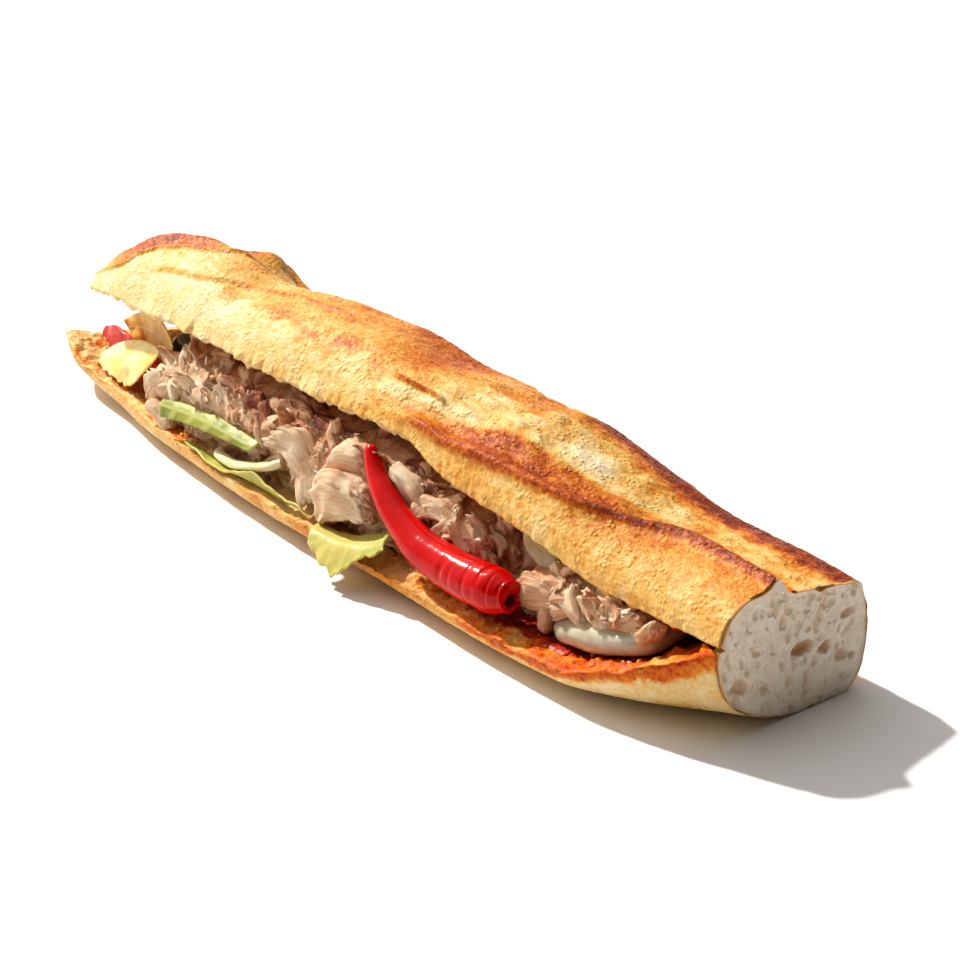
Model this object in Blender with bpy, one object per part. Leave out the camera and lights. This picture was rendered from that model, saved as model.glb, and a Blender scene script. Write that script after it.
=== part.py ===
"""A tuna sandwich in half a baguette, opened along its front.

The loaf lies along X with its cut end at +X and its heel at -X. The slit is on the front, at -Y,
and the two halves stay joined along the back and at the cut end. Sizes are in millimetres and
each mesh is scaled to metres when it is made. +Z is up and the loaf rests on Z = 0.
"""

import math
import random

import bmesh
import bpy
import numpy as np
from mathutils import Matrix, Vector
from mathutils.bvhtree import BVHTree

MM = 0.001

# The loaf, in the order heel to cut end: (distance along X, size)
TIP_X = -173.0
UPPER_TIP_X = -160.0
TIP_ROUNDING = 8.0
CUT_X = 170.0
HALF_WIDTH = (
    (-173, 4.0), (-166, 10.5), (-150, 17.5), (-120, 24.5), (-80, 29.5), (-20, 31.5), (70, 32.0),
    (170, 30.0),
)
CROWN = (
    (-168, 5.0), (-160, 8.5), (-150, 13.5), (-140, 19.0), (-128, 26.0), (-108, 30.5), (-92, 28.5),
    (-66, 24.0), (-35, 26.8), (-10, 26.7), (20, 23.5), (42, 25.0), (62, 26.7), (80, 23.7),
    (100, 20.1), (120, 17.8), (145, 18.3), (170, 17.2),
)
HINGE_HEIGHT = (
    (-173, 9.0), (-166, 11.5), (-150, 16.5), (-130, 20.0), (-110, 21.5), (0, 22.0), (90, 21.0),
    (170, 18.0),
)
HEEL_RISE = ((-168, 15.5), (-155, 11.5), (-140, 7.0), (-125, 3.0), (-110, 0.0), (170, 0.0))
LIFT_DEGREES = (
    (-173, 16.0), (-150, 24.0), (-110, 27.0), (-20, 24.5), (30, 25.0), (55, 19.0), (90, 15.5),
    (127, 11.0), (170, 12.5),
)
BASE_HEIGHT = ((-173, 11.0), (-160, 6.0), (-135, 1.0), (-110, -1.0), (150, -1.0), (170, -0.6))
BASE_Y = ((-173, -6.0), (-150, -4.0), (-90, -2.0), (60, -3.0), (130, 6.0), (170, 17.0))
RIM_Y = (
    (-173, -10.0), (-156, -17.5), (-129, -21.0), (-103, -27.0), (-78, -31.0), (-47, -35.0),
    (0, -39.0), (47, -41.5), (90, -44.5), (122, -45.0), (141, -41.5), (160, -34.0), (170, -29.5),
)
RIM_HEIGHT = (
    (-173, 15.0), (-150, 11.5), (-103, 10.0), (0, 9.5), (90, 9.0), (118, 10.0), (135, 14.0),
    (155, 22.0), (170, 29.0),
)
INNER_FLOOR = (
    (-173, 13.5), (-140, 8.0), (0, 6.5), (90, 6.5), (120, 9.0), (145, 16.0), (160, 25.0),
    (170, 30.0),
)
UPPER_HOLLOW = (
    (-173, 0.2), (-140, 3.0), (0, 4.0), (100, 3.0), (150, 0.5), (160, -1.5), (170, -3.0),
)
HINGE_INSET = 4.0
OUTLINE_POWER = 2.35

# The scores, as (X, share of the way over the crown). The one to the cut end has a lip, a deepest line
# and a crest, and the heel's has a front and a back
SCORE_LIP = (
    (14, 0.03), (31, 0.06), (54, 0.11), (77, 0.16), (99, 0.23), (117, 0.335), (137, 0.41),
    (170, 0.40),
)
SCORE_VALLEY = (
    (14, 0.17), (26, 0.185), (40, 0.20), (53, 0.24), (61, 0.295), (80, 0.375), (100, 0.43),
    (116, 0.50), (137, 0.51), (170, 0.50),
)
SCORE_CREST = ((14, 0.74), (170, 0.74))
HEEL_FRONT = ((-168, 0.30), (52, 0.62))
HEEL_BACK = ((-168, 0.62), (52, 0.80))

# The filling. Each leaf is given by rows of points from its back edge to its front edge
CHILLI_PATH = (
    (22.5, -30.5, 42.0), (27.0, -32.0, 35.8), (34.0, -34.0, 30.4), (44.0, -35.5, 24.8),
    (55.5, -36.2, 20.4), (71.4, -36.6, 18.8), (85.0, -36.6, 19.2), (93.5, -36.6, 19.6),
)
CHILLI_RADII = (1.9, 3.0, 3.9, 4.8, 6.0, 6.7, 6.9, 5.6)
CHILLI_HOLLOW = 6.0
EGG = {"centre": (124.5, -22.0, 17.2), "radii": (22.0, 13.5, 5.2), "turn": (4, -13, 0)}
OLIVE = {"centre": (-107.5, -3.0, 26.5), "radii": (7.5, 5.0, 4.8), "turn": (0, 0, 12)}
ONION_RING = (
    (-57.5, -26.6, 13.2), (-56.0, -29.6, 13.0), (-46.0, -31.8, 13.4), (-35.0, -32.2, 16.0),
    (-26.5, -31.4, 18.8), (-23.0, -29.4, 20.6),
)
ONION_PIECE = (
    ((79.0, -16.5, 33.6), (87.0, -17.0, 30.2), (96.0, -18.0, 27.6)),
    ((80.0, -19.4, 30.4), (87.0, -20.2, 27.0), (94.5, -21.0, 24.8)),
    ((82.0, -21.2, 27.4), (87.0, -22.0, 24.6), (93.5, -22.6, 23.0)),
)
LETTUCE_RIB = (
    ((-89.0, -27.2, 20.8), (-72.0, -27.6, 23.4), (-55.0, -28.2, 24.6), (-33.5, -29.6, 23.8)),
    ((-89.0, -29.2, 19.4), (-72.0, -30.0, 21.4), (-55.0, -31.0, 22.4), (-34.0, -32.0, 22.4)),
    ((-88.0, -29.8, 15.4), (-72.5, -31.2, 18.6), (-55.5, -32.2, 20.2), (-36.0, -32.8, 21.0)),
)
LETTUCE_FOLD = (
    ((-70.0, -29.0, 11.2), (-50.0, -31.2, 10.8), (-30.0, -32.6, 11.0), (-15.0, -33.2, 11.0), (-3.0, -34.6, 11.4)),
    ((-72.0, -30.6, 11.8), (-49.5, -33.6, 11.0), (-31.0, -34.6, 13.6), (-16.5, -34.4, 12.2), (-1.0, -35.6, 12.0)),
    ((-72.7, -31.6, 12.6), (-47.0, -35.4, 11.4), (-31.0, -35.2, 16.6), (-16.5, -35.4, 13.8), (1.6, -36.6, 12.6)),
)
LETTUCE_LEAF = (
    ((4.0, -36.2, 11.6), (12.0, -35.8, 11.4), (20.0, -34.5, 12.4), (27.0, -33.5, 15.0), (36.0, -34.0, 18.2)),
    ((6.5, -40.6, 12.0), (13.5, -41.4, 12.2), (22.0, -41.6, 12.8), (31.0, -40.8, 14.6), (39.0, -38.4, 18.0)),
    ((9.7, -45.0, 9.4), (16.0, -46.4, 6.6), (24.7, -47.6, 5.4), (33.0, -44.6, 11.6), (41.0, -40.4, 17.0)),
)
HEART_FRONT = (
    ((-146.5, -7.6, 17.0), (-138.0, -8.0, 21.2), (-121.0, -12.0, 27.4), (-104.5, -17.0, 30.6)),
    ((-147.5, -12.4, 15.0), (-137.0, -15.6, 16.6), (-123.0, -19.4, 19.0), (-108.0, -19.0, 25.0)),
    ((-147.0, -14.2, 13.2), (-138.0, -17.4, 12.8), (-126.0, -20.0, 12.6), (-114.5, -21.4, 17.4)),
)
HEART_BACK = (
    ((-157.5, 4.0, 20.6), (-141.0, 2.0, 28.6), (-124.0, -3.0, 31.4), (-104.0, -12.6, 30.8)),
    ((-155.0, 4.4, 18.0), (-139.0, 0.6, 22.0), (-123.0, -4.6, 24.4), (-107.0, -11.0, 26.4)),
    ((-153.0, 3.0, 16.0), (-137.0, -1.0, 14.0), (-122.0, -6.0, 14.0), (-109.0, -10.6, 18.0)),
)
TOMATO = (
    ((-163.0, 1.0, 17.2), (-154.0, -0.6, 20.2), (-138.0, -4.8, 20.6), (-110.5, -14.4, 25.4)),
    ((-163.5, -0.4, 15.6), (-153.0, -2.6, 15.8), (-137.0, -6.6, 15.0), (-111.0, -15.4, 19.0)),
    ((-162.0, -1.4, 14.8), (-151.0, -4.4, 13.2), (-136.0, -8.6, 11.4), (-111.5, -16.6, 13.0)),
)

# The tuna: where it starts and ends, its foot, belly and brow along the front, and its larger pieces
TUNA_START, TUNA_END, TUNA_BACK = -97.0, 136.0, 14.0
TUNA_FOOT_Y = (
    (-97, -20), (-85, -23), (-60, -23.5), (-30, -24), (0, -28), (25, -28), (45, -27), (68, -26.5),
    (78, -23), (98, -23), (108, -28), (125, -30), (149, -20),
)
TUNA_BELLY_Y = (
    (-97, -22), (-85, -26), (-60, -27), (-30, -28), (0, -31), (25, -30), (45, -29.5), (68, -29),
    (77, -18), (98, -18), (108, -31), (125, -31.5), (149, -22),
)
TUNA_BROW_Y = (
    (-97, -17), (-85, -21), (-60, -24), (-30, -25), (0, -26), (25, -26), (45, -26), (68, -25),
    (77, -13), (98, -13), (108, -27), (125, -27), (149, -18),
)
TUNA_BROW_HEIGHT = (
    (-97, 29), (-88, 33), (-74, 37), (-54, 36), (-33, 37), (-8, 38), (20, 38), (40, 35), (60, 32),
    (80, 29), (98, 28), (115, 27), (130, 27.5), (149, 28),
)
CHUNKS = (
    ((13.0, -33.0, 23.4), (14.0, 6.4, 8.4), (0, -18, 0), 8, 10, 0.9),
    ((11.0, -29.5, 34.0), (8.0, 4.5, 4.5), (0, -20, 10), 6, 8, 0.9),
    ((-8.5, -30.5, 28.2), (13.0, 3.2, 6.6), (-25, 42, 0), 7, 8, 0.7),
    ((2.5, -27.5, 34.4), (8.0, 2.2, 2.6), (0, 62, 0), 5, 6, 0.8),
    ((-97.0, -20.0, 20.0), (10.0, 4.0, 8.0), (0, -25, 14), 6, 8, 0.8),
    ((-93.0, -26.0, 14.0), (7.0, 3.2, 2.8), (0, 20, 0), 5, 7, 0.8),
    ((100.0, -28.5, 22.0), (9.5, 5.0, 5.6), (0, -8, 0), 6, 8, 0.85),
    ((103.5, -31.6, 15.0), (2.0, 2.4, 5.0), (8, 10, 0), 5, 6, 0.85),
)
FLAKES, FLAKE_TRIES = 90, 500

# The bounding box is centred on the origin by this shift
SHIFT = Vector((1.5, 6.75, 0.0))

GAP = 0.6
SEED = 8


def along(x, knots):
    """The value at x of a smooth curve through the knots, with no overshoot between them."""
    xs = np.array([k[0] for k in knots], float)
    ys = np.array([k[1] for k in knots], float)
    x = np.clip(x, xs[0], xs[-1])
    steps = np.diff(ys) / np.diff(xs)
    slopes = np.zeros(len(xs))
    slopes[0], slopes[-1] = steps[0], steps[-1]
    for i in range(1, len(xs) - 1):
        if steps[i - 1] * steps[i] > 0:
            slopes[i] = 2 * steps[i - 1] * steps[i] / (steps[i - 1] + steps[i])
    i = np.clip(np.searchsorted(xs, x, side="right") - 1, 0, len(xs) - 2)
    width = xs[i + 1] - xs[i]
    t = (x - xs[i]) / width
    return (
        (2 * t**3 - 3 * t**2 + 1) * ys[i]
        + (t**3 - 2 * t**2 + t) * width * slopes[i]
        + (3 * t**2 - 2 * t**3) * ys[i + 1]
        + (t**3 - t**2) * width * slopes[i + 1]
    )


def signed_power(value, power):
    return math.copysign(abs(value) ** power, value)


def smooth(t):
    t = min(1.0, max(0.0, t))
    return t * t * (3 - 2 * t)


def bump(distance, width):
    return math.exp(-((distance / width) ** 2))


def hinge(x):
    """(y, z) of the line along the back that the upper half turns about."""
    return along(x, HALF_WIDTH) - HINGE_INSET, along(x, HINGE_HEIGHT)


def lifted(x, reach, height):
    """(y, z) of a point of the upper half: reach forward from the hinge, height over the cut."""
    y, z = hinge(x)
    z += along(x, HEEL_RISE)
    lift = math.radians(along(x, LIFT_DEGREES))
    return (
        y - reach * math.cos(lift) + height * math.sin(lift),
        z + reach * math.sin(lift) + height * math.cos(lift),
    )


def tip_share(x):
    """How much of its section the upper half has at x: its end is rounded off."""
    t = min(1.0, max(0.0, (x - UPPER_TIP_X) / TIP_ROUNDING))
    return 0.35 + 0.65 * math.sqrt(1 - (1 - t) ** 2)


def score_relief(x, u):
    """How far the scores raise or sink the crust at share u of the way over the crown."""
    total = 0.0
    heel = smooth((x + 168) / 26) * smooth((52 - x) / 22)
    if heel > 0:
        front, back = along(x, HEEL_FRONT), along(x, HEEL_BACK)
        inside = smooth((u - front) / 0.05) * smooth((back - u) / 0.05)
        total += heel * (1.6 * bump(u - front, 0.045) - 1.6 * inside + 1.3 * bump(u - back, 0.04))
    end = smooth((x - 14) / 30)
    if end > 0:
        lip, valley, crest = along(x, SCORE_LIP), along(x, SCORE_VALLEY), along(x, SCORE_CREST)
        inside = smooth((u - lip) / 0.04) * smooth((crest - u) / max(0.05, crest - valley))
        total += end * (2.4 * bump(u - lip, 0.035) - 3.2 * inside + 1.9 * bump(u - crest, 0.05))
    return total


def heel_ear(x, u):
    """The flap of crust that stands up near the heel, behind the first score."""
    return 5.0 * bump(x + 97, 8) * bump(u - 0.60, 0.09)


def upper_outer(x, u):
    """(y, z) on the crust of the upper half, from the lip at u = 0 to the back at u = 1."""
    width, crown = along(x, HALF_WIDTH), along(x, CROWN)
    power = 2 / OUTLINE_POWER
    c, s = math.cos(math.pi * u), math.sin(math.pi * u)
    raised = (score_relief(x, u) + heel_ear(x, u)) * min(1.0, crown / 15)
    share = tip_share(x)
    reach = width - HINGE_INSET + (width * signed_power(c, power) + raised * c) * share
    return lifted(x, reach, (crown * signed_power(s, power) + raised * s) * share)


def upper_inner(x, v):
    """(y, z) on the cut face of the upper half, from the back at v = 0 to the lip at v = 1."""
    width = along(x, HALF_WIDTH)
    full = 2 * width - HINGE_INSET
    hollow = along(x, UPPER_HOLLOW)
    reach = -HINGE_INSET + (full + HINGE_INSET) * v
    share = max(0.0, reach) / full
    height = hollow * math.sin(math.pi * min(1.0, share)) - 3.0 * (1 - smooth(share / 0.18))
    if hollow < 0:
        height += hollow * (1 - share)
    tip = tip_share(x)
    middle = width - HINGE_INSET
    return lifted(x, middle + (reach - middle) * tip, height * tip)


def lower_outer(x, u):
    """(y, z) on the crust of the lower half, from the back at u = 0 to the rim at u = 1."""
    base, base_y = along(x, BASE_HEIGHT), along(x, BASE_Y)
    power = 2 / 2.5
    if u < 0.4:
        angle = math.pi / 2 * (1 - u / 0.4)
        side, top = along(x, HALF_WIDTH), along(x, HINGE_HEIGHT)
    else:
        angle = math.pi / 2 * (u - 0.4) / 0.6
        side, top = along(x, RIM_Y), along(x, RIM_HEIGHT)
    y = base_y + (side - base_y) * math.sin(angle) ** power
    z = base + (top - base) * (1 - math.cos(angle) ** power)
    return y, max(0.0, z)


def floor_height(x, y):
    """The height of the cut face of the lower half at (x, y)."""
    floor, rim_y, rim = along(x, INNER_FLOOR), along(x, RIM_Y) + 2.5, along(x, RIM_HEIGHT)
    back_y, back = hinge(x)
    middle = 0.25 * rim_y + 0.1 * back_y
    front_side = smooth((middle - y) / max(1.0, middle - rim_y))
    back_side = min(1.0, max(0.0, (y - middle) / max(1.0, back_y - middle))) ** 2.6
    return floor + (rim - floor) * front_side + (back - floor) * back_side


def lower_inner(x, v):
    """(y, z) on the cut face of the lower half, from the rim at v = 0 to the back at v = 1."""
    rim_y = along(x, RIM_Y)
    back_y = hinge(x)[0] + 1.0
    y = rim_y + (back_y - rim_y) * (0.04 + 0.96 * v)
    return y, floor_height(x, y)


def roof_height(x, y):
    """The height of the cut face of the upper half over (x, y)."""
    back_y, back = hinge(x)
    lift = math.radians(along(x, LIFT_DEGREES))
    share = (back_y - y) / math.cos(lift) / (2 * along(x, HALF_WIDTH) - HINGE_INSET)
    hollow = along(x, UPPER_HOLLOW) * math.sin(math.pi * min(1.0, max(0.0, share)))
    return back + (back_y - y) * math.tan(lift) + hollow


def new_object(name, points, faces, material):
    mesh = bpy.data.meshes.new(name)
    mesh.from_pydata([tuple((Vector(p) + SHIFT) * MM) for p in points], [], faces)
    made = bmesh.new()
    made.from_mesh(mesh)
    bmesh.ops.recalc_face_normals(made, faces=made.faces)
    made.to_mesh(mesh)
    made.free()
    obj = bpy.data.objects.new(name, mesh)
    obj.data.materials.append(material)
    sandwich.objects.link(obj)
    return obj


def loft(rings):
    """Points and faces of a closed skin over rings of equal size, capped at both ends."""
    size = len(rings[0])
    points = [p for ring in rings for p in ring]
    faces = []
    for i in range(len(rings) - 1):
        for j in range(size):
            k = (j + 1) % size
            faces.append((i * size + j, i * size + k, (i + 1) * size + k, (i + 1) * size + j))
    first, last = Vector((0, 0, 0)), Vector((0, 0, 0))
    for j in range(size):
        first += Vector(rings[0][j]) / size
        last += Vector(rings[-1][j]) / size
    points += [tuple(first), tuple(last)]
    end = (len(rings) - 1) * size
    for j in range(size):
        k = (j + 1) % size
        faces.append((len(points) - 2, k, j))
        faces.append((len(points) - 1, end + j, end + k))
    return points, faces


def sheet(surface, across, down, thickness):
    """Points and faces of a thin solid on surface(s, t), both faces split into triangles alike."""
    centre = [[Vector(surface(i / across, j / down)) for j in range(down + 1)] for i in range(across + 1)]
    points, faces = [], []
    size = (across + 1) * (down + 1)
    for side in (0.5, -0.5):
        for i in range(across + 1):
            for j in range(down + 1):
                a = centre[min(i + 1, across)][j] - centre[max(i - 1, 0)][j]
                b = centre[i][min(j + 1, down)] - centre[i][max(j - 1, 0)]
                points.append(tuple(centre[i][j] + a.cross(b).normalized() * thickness * side))

    def index(i, j, layer):
        return layer * size + i * (down + 1) + j

    for i in range(across):
        for j in range(down):
            a, b, c, d = (index(i, j, 0), index(i + 1, j, 0), index(i + 1, j + 1, 0), index(i, j + 1, 0))
            faces += [(a, b, c), (a, c, d)]
            faces += [(a + size, c + size, b + size), (a + size, d + size, c + size)]
    border = [(i, 0) for i in range(across)] + [(across, j) for j in range(down)]
    border += [(i, down) for i in range(across, 0, -1)] + [(0, j) for j in range(down, 0, -1)]
    for here, there in zip(border, border[1:] + border[:1]):
        a, b = index(*here, 0), index(*there, 0)
        faces += [(b, a, a + size), (b, a + size, b + size)]
    return points, faces


def material(name, colour, roughness):
    made = bpy.data.materials.new(name)
    made.use_nodes = True
    shader = made.node_tree.nodes["Principled BSDF"]
    shader.inputs["Base Color"].default_value = (*colour, 1.0)
    shader.inputs["Roughness"].default_value = roughness
    shader.inputs["Metallic"].default_value = 0.0
    return made


def boolean(obj, other, operation):
    """Joins other to obj, or cuts it away, and removes other."""
    modifier = obj.modifiers.new(operation.lower(), "BOOLEAN")
    modifier.operation = operation
    modifier.object = other
    modifier.solver = "MANIFOLD"
    apply_modifiers(obj)
    bpy.data.objects.remove(other)


def apply_modifiers(obj):
    bpy.context.view_layer.update()
    graph = bpy.context.evaluated_depsgraph_get()
    mesh = bpy.data.meshes.new_from_object(obj.evaluated_get(graph))
    obj.modifiers.clear()
    obj.data = mesh


def keep_largest(obj):
    """Drops the loose scraps and the sealed hollows that a Boolean leaves."""
    made = bmesh.new()
    made.from_mesh(obj.data)
    bmesh.ops.triangulate(made, faces=made.faces)
    made.faces.ensure_lookup_table()
    left = set(made.faces)
    islands = []
    while left:
        island, edge = set(), [left.pop()]
        while edge:
            face = edge.pop()
            island.add(face)
            near = {other for side in face.edges for other in side.link_faces} & left
            left -= near
            edge += near
        size = sum(f.verts[0].co.dot(f.verts[1].co.cross(f.verts[2].co)) for f in island)
        islands.append((abs(size), island))
    largest = max(islands, key=lambda found: found[0])[1]
    spare = [face for face in made.faces if face not in largest]
    bmesh.ops.delete(made, geom=spare, context="FACES")
    made.to_mesh(obj.data)
    made.free()


def stations(start, end, count, crowd_start=0.0):
    """count + 1 places from start to end, closer together at the start by crowd_start."""
    return [start + (end - start) * (i / count) ** (1 + crowd_start) for i in range(count + 1)]


def build_bread(crust):
    """The loaf: its upper and lower halves, joined at the back and at the cut end."""
    outer_u = [i / 25 for i in range(26)]
    inner_v = [(i + 0.5) / 6 for i in range(6)]
    upper_rings = []
    for x in stations(UPPER_TIP_X, CUT_X + 6, 46, 0.2):
        clamped = min(x, CUT_X)
        ring = [upper_outer(clamped, u) for u in outer_u] + [upper_inner(clamped, v) for v in inner_v]
        upper_rings.append([(x, y, z) for y, z in ring])
    lower_rings = []
    for x in stations(TIP_X, CUT_X + 6, 38, 0.25):
        clamped = min(x, CUT_X)
        ring = [lower_outer(clamped, i / 16) for i in range(17)] + [lower_inner(clamped, i / 7) for i in range(8)]
        lower_rings.append([(x, y, z) for y, z in ring])
    bread = new_object("bread", *loft(upper_rings), crust)
    boolean(bread, new_object("lower_half", *loft(lower_rings), crust), "UNION")
    knife = box("knife", (CUT_X, -80, -20), (CUT_X + 30, 80, 90), crust)
    boolean(bread, knife, "DIFFERENCE")
    keep_largest(bread)
    return bread


def box(name, low, high, finish):
    made = bmesh.new()
    bmesh.ops.create_cube(made, size=1.0)
    size = Vector(high) - Vector(low)
    middle = (Vector(high) + Vector(low)) / 2 + SHIFT
    for vertex in made.verts:
        vertex.co = Vector((vertex.co.x * size.x, vertex.co.y * size.y, vertex.co.z * size.z)) + middle
        vertex.co *= MM
    mesh = bpy.data.meshes.new(name)
    made.to_mesh(mesh)
    made.free()
    obj = bpy.data.objects.new(name, mesh)
    obj.data.materials.append(finish)
    sandwich.objects.link(obj)
    return obj


def patch(rows):
    """A surface (s, t) through rows of points, s along each row and t from row to row."""

    def through(places, at):
        spaced = [i / (len(places) - 1) for i in range(len(places))]
        return [along(at, tuple(zip(spaced, [p[axis] for p in places]))) for axis in range(3)]

    return lambda s, t: through([through(row, s) for row in rows], t)


def tube(path, radii, count, sides, flatness=1.0, hollow=0.0):
    """Rings of a round bar along path. hollow is the depth of the opening in its last end."""
    line = patch((path, path))
    spaced = [i / (len(radii) - 1) for i in range(len(radii))]
    sizes = tuple(zip(spaced, radii))
    rings = []
    places = [(i / count, 1.0, 0.0) for i in range(count + 1)]
    if hollow:
        places += [(1.0, 0.66, 0.0), (1.0, 0.58, hollow)]
    for s, share, sunk in places:
        ahead = Vector(line(min(1.0, s + 0.02), 0.0)) - Vector(line(max(0.0, s - 0.02), 0.0))
        ahead.normalize()
        centre = Vector(line(s, 0.0)) - ahead * sunk
        side = ahead.cross(Vector((0, 0, 1))).normalized()
        over = side.cross(ahead).normalized()
        radius = float(along(s, sizes)) * share
        ring = []
        for j in range(sides):
            angle = 2 * math.pi * j / sides
            ring.append(tuple(centre + side * radius * math.cos(angle) + over * radius * flatness * math.sin(angle)))
        rings.append(ring)
    return rings


def lump(centre, radii, turn, rings, sides, power=1.0):
    """Rings of a rounded block. power below 1 makes it squarer; turn is in degrees about X, Y and Z."""
    rotation = Matrix.Identity(3)
    for axis, angle in zip("XYZ", turn):
        rotation = Matrix.Rotation(math.radians(angle), 3, axis) @ rotation
    made = []
    for i in range(1, rings):
        along_x = -math.cos(math.pi * i / rings)
        across = math.sin(math.pi * i / rings) ** power
        ring = []
        for j in range(sides):
            angle = 2 * math.pi * j / sides
            point = Vector((
                radii[0] * signed_power(along_x, power),
                radii[1] * across * signed_power(math.cos(angle), power),
                radii[2] * across * signed_power(math.sin(angle), power),
            ))
            ring.append(tuple(rotation @ point + Vector(centre)))
        made.append(ring)
    return made


def egg_top(x, y):
    """The height of the egg slice's upper face at (x, y), or a low value beside it."""
    across, deep = (x - EGG["centre"][0]) / EGG["radii"][0], (y - EGG["centre"][1]) / EGG["radii"][1]
    inside = 1.5 - across**2 - deep**2
    if inside <= 0:
        return -100.0
    slope = math.tan(math.radians(-EGG["turn"][1]))
    return EGG["centre"][2] + slope * (x - EGG["centre"][0]) + EGG["radii"][2] * min(1.0, 2 * inside) ** 0.3


def tuna_front(x, share):
    """(y, z) on the front of the tuna, from the bread at share 0 to its top at share 1."""
    low_y, top_y = along(x, TUNA_FOOT_Y), along(x, TUNA_BROW_Y)
    low = tuna_floor(x, low_y)
    top = max(along(x, TUNA_BROW_HEIGHT), low + 2.5, tuna_floor(x, top_y) + 1.5)
    belly_y = along(x, TUNA_BELLY_Y)
    y = low_y + (belly_y - low_y) * smooth(share / 0.7) + (top_y - belly_y) * smooth((share - 0.7) / 0.3)
    return y, low + (top - low) * share


def tuna_floor(x, y):
    return max(floor_height(x, y), egg_top(x, y)) + 2 * GAP


def tuna_core():
    rings = []
    for x in stations(TUNA_START, TUNA_END, 30):
        brow_y, brow_z = tuna_front(x, 1.0)
        back_y = hinge(x)[0] - TUNA_BACK
        columns = [brow_y + (back_y - brow_y) * i / 5 for i in range(6)]
        ring = [(x, y, tuna_floor(x, y)) for y in reversed(columns)]
        ring += [(x, *tuna_front(x, share)) for share in (0.0, 0.35, 0.7)]
        for y in columns:
            top = min(brow_z + 0.3 * (y - brow_y), roof_height(x, y) - 3 * GAP)
            ring.append((x, y, max(top, tuna_floor(x, y) + 1.5)))
        rings.append(ring)
    return rings


def tree_of(obj, grown=0.0):
    """A tree of the object's faces, in millimetres, each point moved out by grown."""
    mesh = obj.data
    points = [v.co / MM - SHIFT + v.normal * grown for v in mesh.vertices]
    return BVHTree.FromPolygons(points, [tuple(p.vertices) for p in mesh.polygons])


def tree_of_rings(rings):
    return BVHTree.FromPolygons(*loft(rings))


def flake(rng, x, share):
    """Rings of one flake of tuna, lying on the front of the heap."""
    y, z = tuna_front(x, share)
    centre = (x, y + rng.uniform(-1.2, 0.8), z + rng.uniform(-0.6, 1.0))
    radii = (rng.uniform(4.5, 8.5), rng.uniform(1.8, 3.0), rng.uniform(1.2, 2.0))
    turn = (rng.uniform(-70, 70), rng.uniform(-55, 55), rng.uniform(-45, 45))
    return lump(centre, radii, turn, 4, 5, 0.8)


def build_tuna(finish, others):
    """The heap of tuna: a core shaped to the bread round it, with the flakes that show joined on."""
    rng = random.Random(SEED)
    blocked = [tree_of(other, GAP) for other in others]
    core = tuna_core()
    core_tree = tree_of_rings(core)
    pieces = [lump(*chunk) for chunk in CHUNKS]
    for _ in range(FLAKE_TRIES):
        x = rng.uniform(TUNA_START - 4, TUNA_END - 2)
        pieces.append(flake(rng, max(x, TUNA_START), rng.uniform(0.08, 1.0)))
    tuna = new_object("tuna", *loft(core), finish)
    gathered = bpy.data.collections.new("tuna_flakes")
    bpy.context.scene.collection.children.link(gathered)
    for rings in pieces:
        if len(gathered.objects) >= FLAKES:
            break
        tree = tree_of_rings(rings)
        if not tree.overlap(core_tree) or any(tree.overlap(other) for other in blocked):
            continue
        piece = new_object("flake", *loft(rings), finish)
        sandwich.objects.unlink(piece)
        gathered.objects.link(piece)
    modifier = tuna.modifiers.new("join", "BOOLEAN")
    modifier.operation = "UNION"
    modifier.operand_type = "COLLECTION"
    modifier.collection = gathered
    modifier.solver = "EXACT"
    apply_modifiers(tuna)
    keep_largest(tuna)
    for piece in list(gathered.objects):
        bpy.data.objects.remove(piece)
    bpy.data.collections.remove(gathered)
    return tuna


for old in list(bpy.data.objects):
    bpy.data.objects.remove(old)
sandwich = bpy.data.collections.new("tuna_sandwich")
bpy.context.scene.collection.children.link(sandwich)

crust = material("crust", (0.72, 0.42, 0.15), 0.6)
tuna_flesh = material("tuna_flesh", (0.62, 0.36, 0.26), 0.6)
chilli_skin = material("chilli_skin", (0.68, 0.01, 0.01), 0.2)
egg_white = material("egg_white", (0.88, 0.86, 0.80), 0.3)
onion = material("onion", (0.84, 0.80, 0.62), 0.3)
lettuce = material("lettuce", (0.48, 0.66, 0.14), 0.45)
lettuce_heart = material("lettuce_heart", (0.86, 0.80, 0.30), 0.45)
tomato_flesh = material("tomato_flesh", (0.55, 0.04, 0.02), 0.3)
olive_skin = material("olive_skin", (0.05, 0.06, 0.02), 0.25)

bread = build_bread(crust)
filling = [
    bread,
    new_object("chilli", *loft(tube(CHILLI_PATH, CHILLI_RADII, 18, 12, hollow=CHILLI_HOLLOW)), chilli_skin),
    new_object("egg_slice", *loft(lump(EGG["centre"], EGG["radii"], EGG["turn"], 12, 14, 0.75)), egg_white),
    new_object("onion_ring", *loft(tube(ONION_RING, (1.5, 1.9, 2.0, 2.0, 1.9, 1.5), 16, 8, 0.8)), onion),
    new_object("onion_piece", *sheet(patch(ONION_PIECE), 8, 5, 1.8), onion),
    new_object("lettuce_rib", *sheet(patch(LETTUCE_RIB), 14, 4, 1.1), lettuce),
    new_object("lettuce_fold", *sheet(patch(LETTUCE_FOLD), 18, 4, 0.9), lettuce),
    new_object("lettuce_leaf", *sheet(patch(LETTUCE_LEAF), 12, 7, 0.9), lettuce),
    new_object("heart_leaf_front", *sheet(patch(HEART_FRONT), 12, 7, 1.0), lettuce_heart),
    new_object("heart_leaf_back", *sheet(patch(HEART_BACK), 12, 6, 1.0), lettuce_heart),
    new_object("tomato_slice", *sheet(patch(TOMATO), 12, 5, 2.4), tomato_flesh),
    new_object("olive", *loft(lump(OLIVE["centre"], OLIVE["radii"], OLIVE["turn"], 8, 10)), olive_skin),
]
build_tuna(tuna_flesh, filling)
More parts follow.
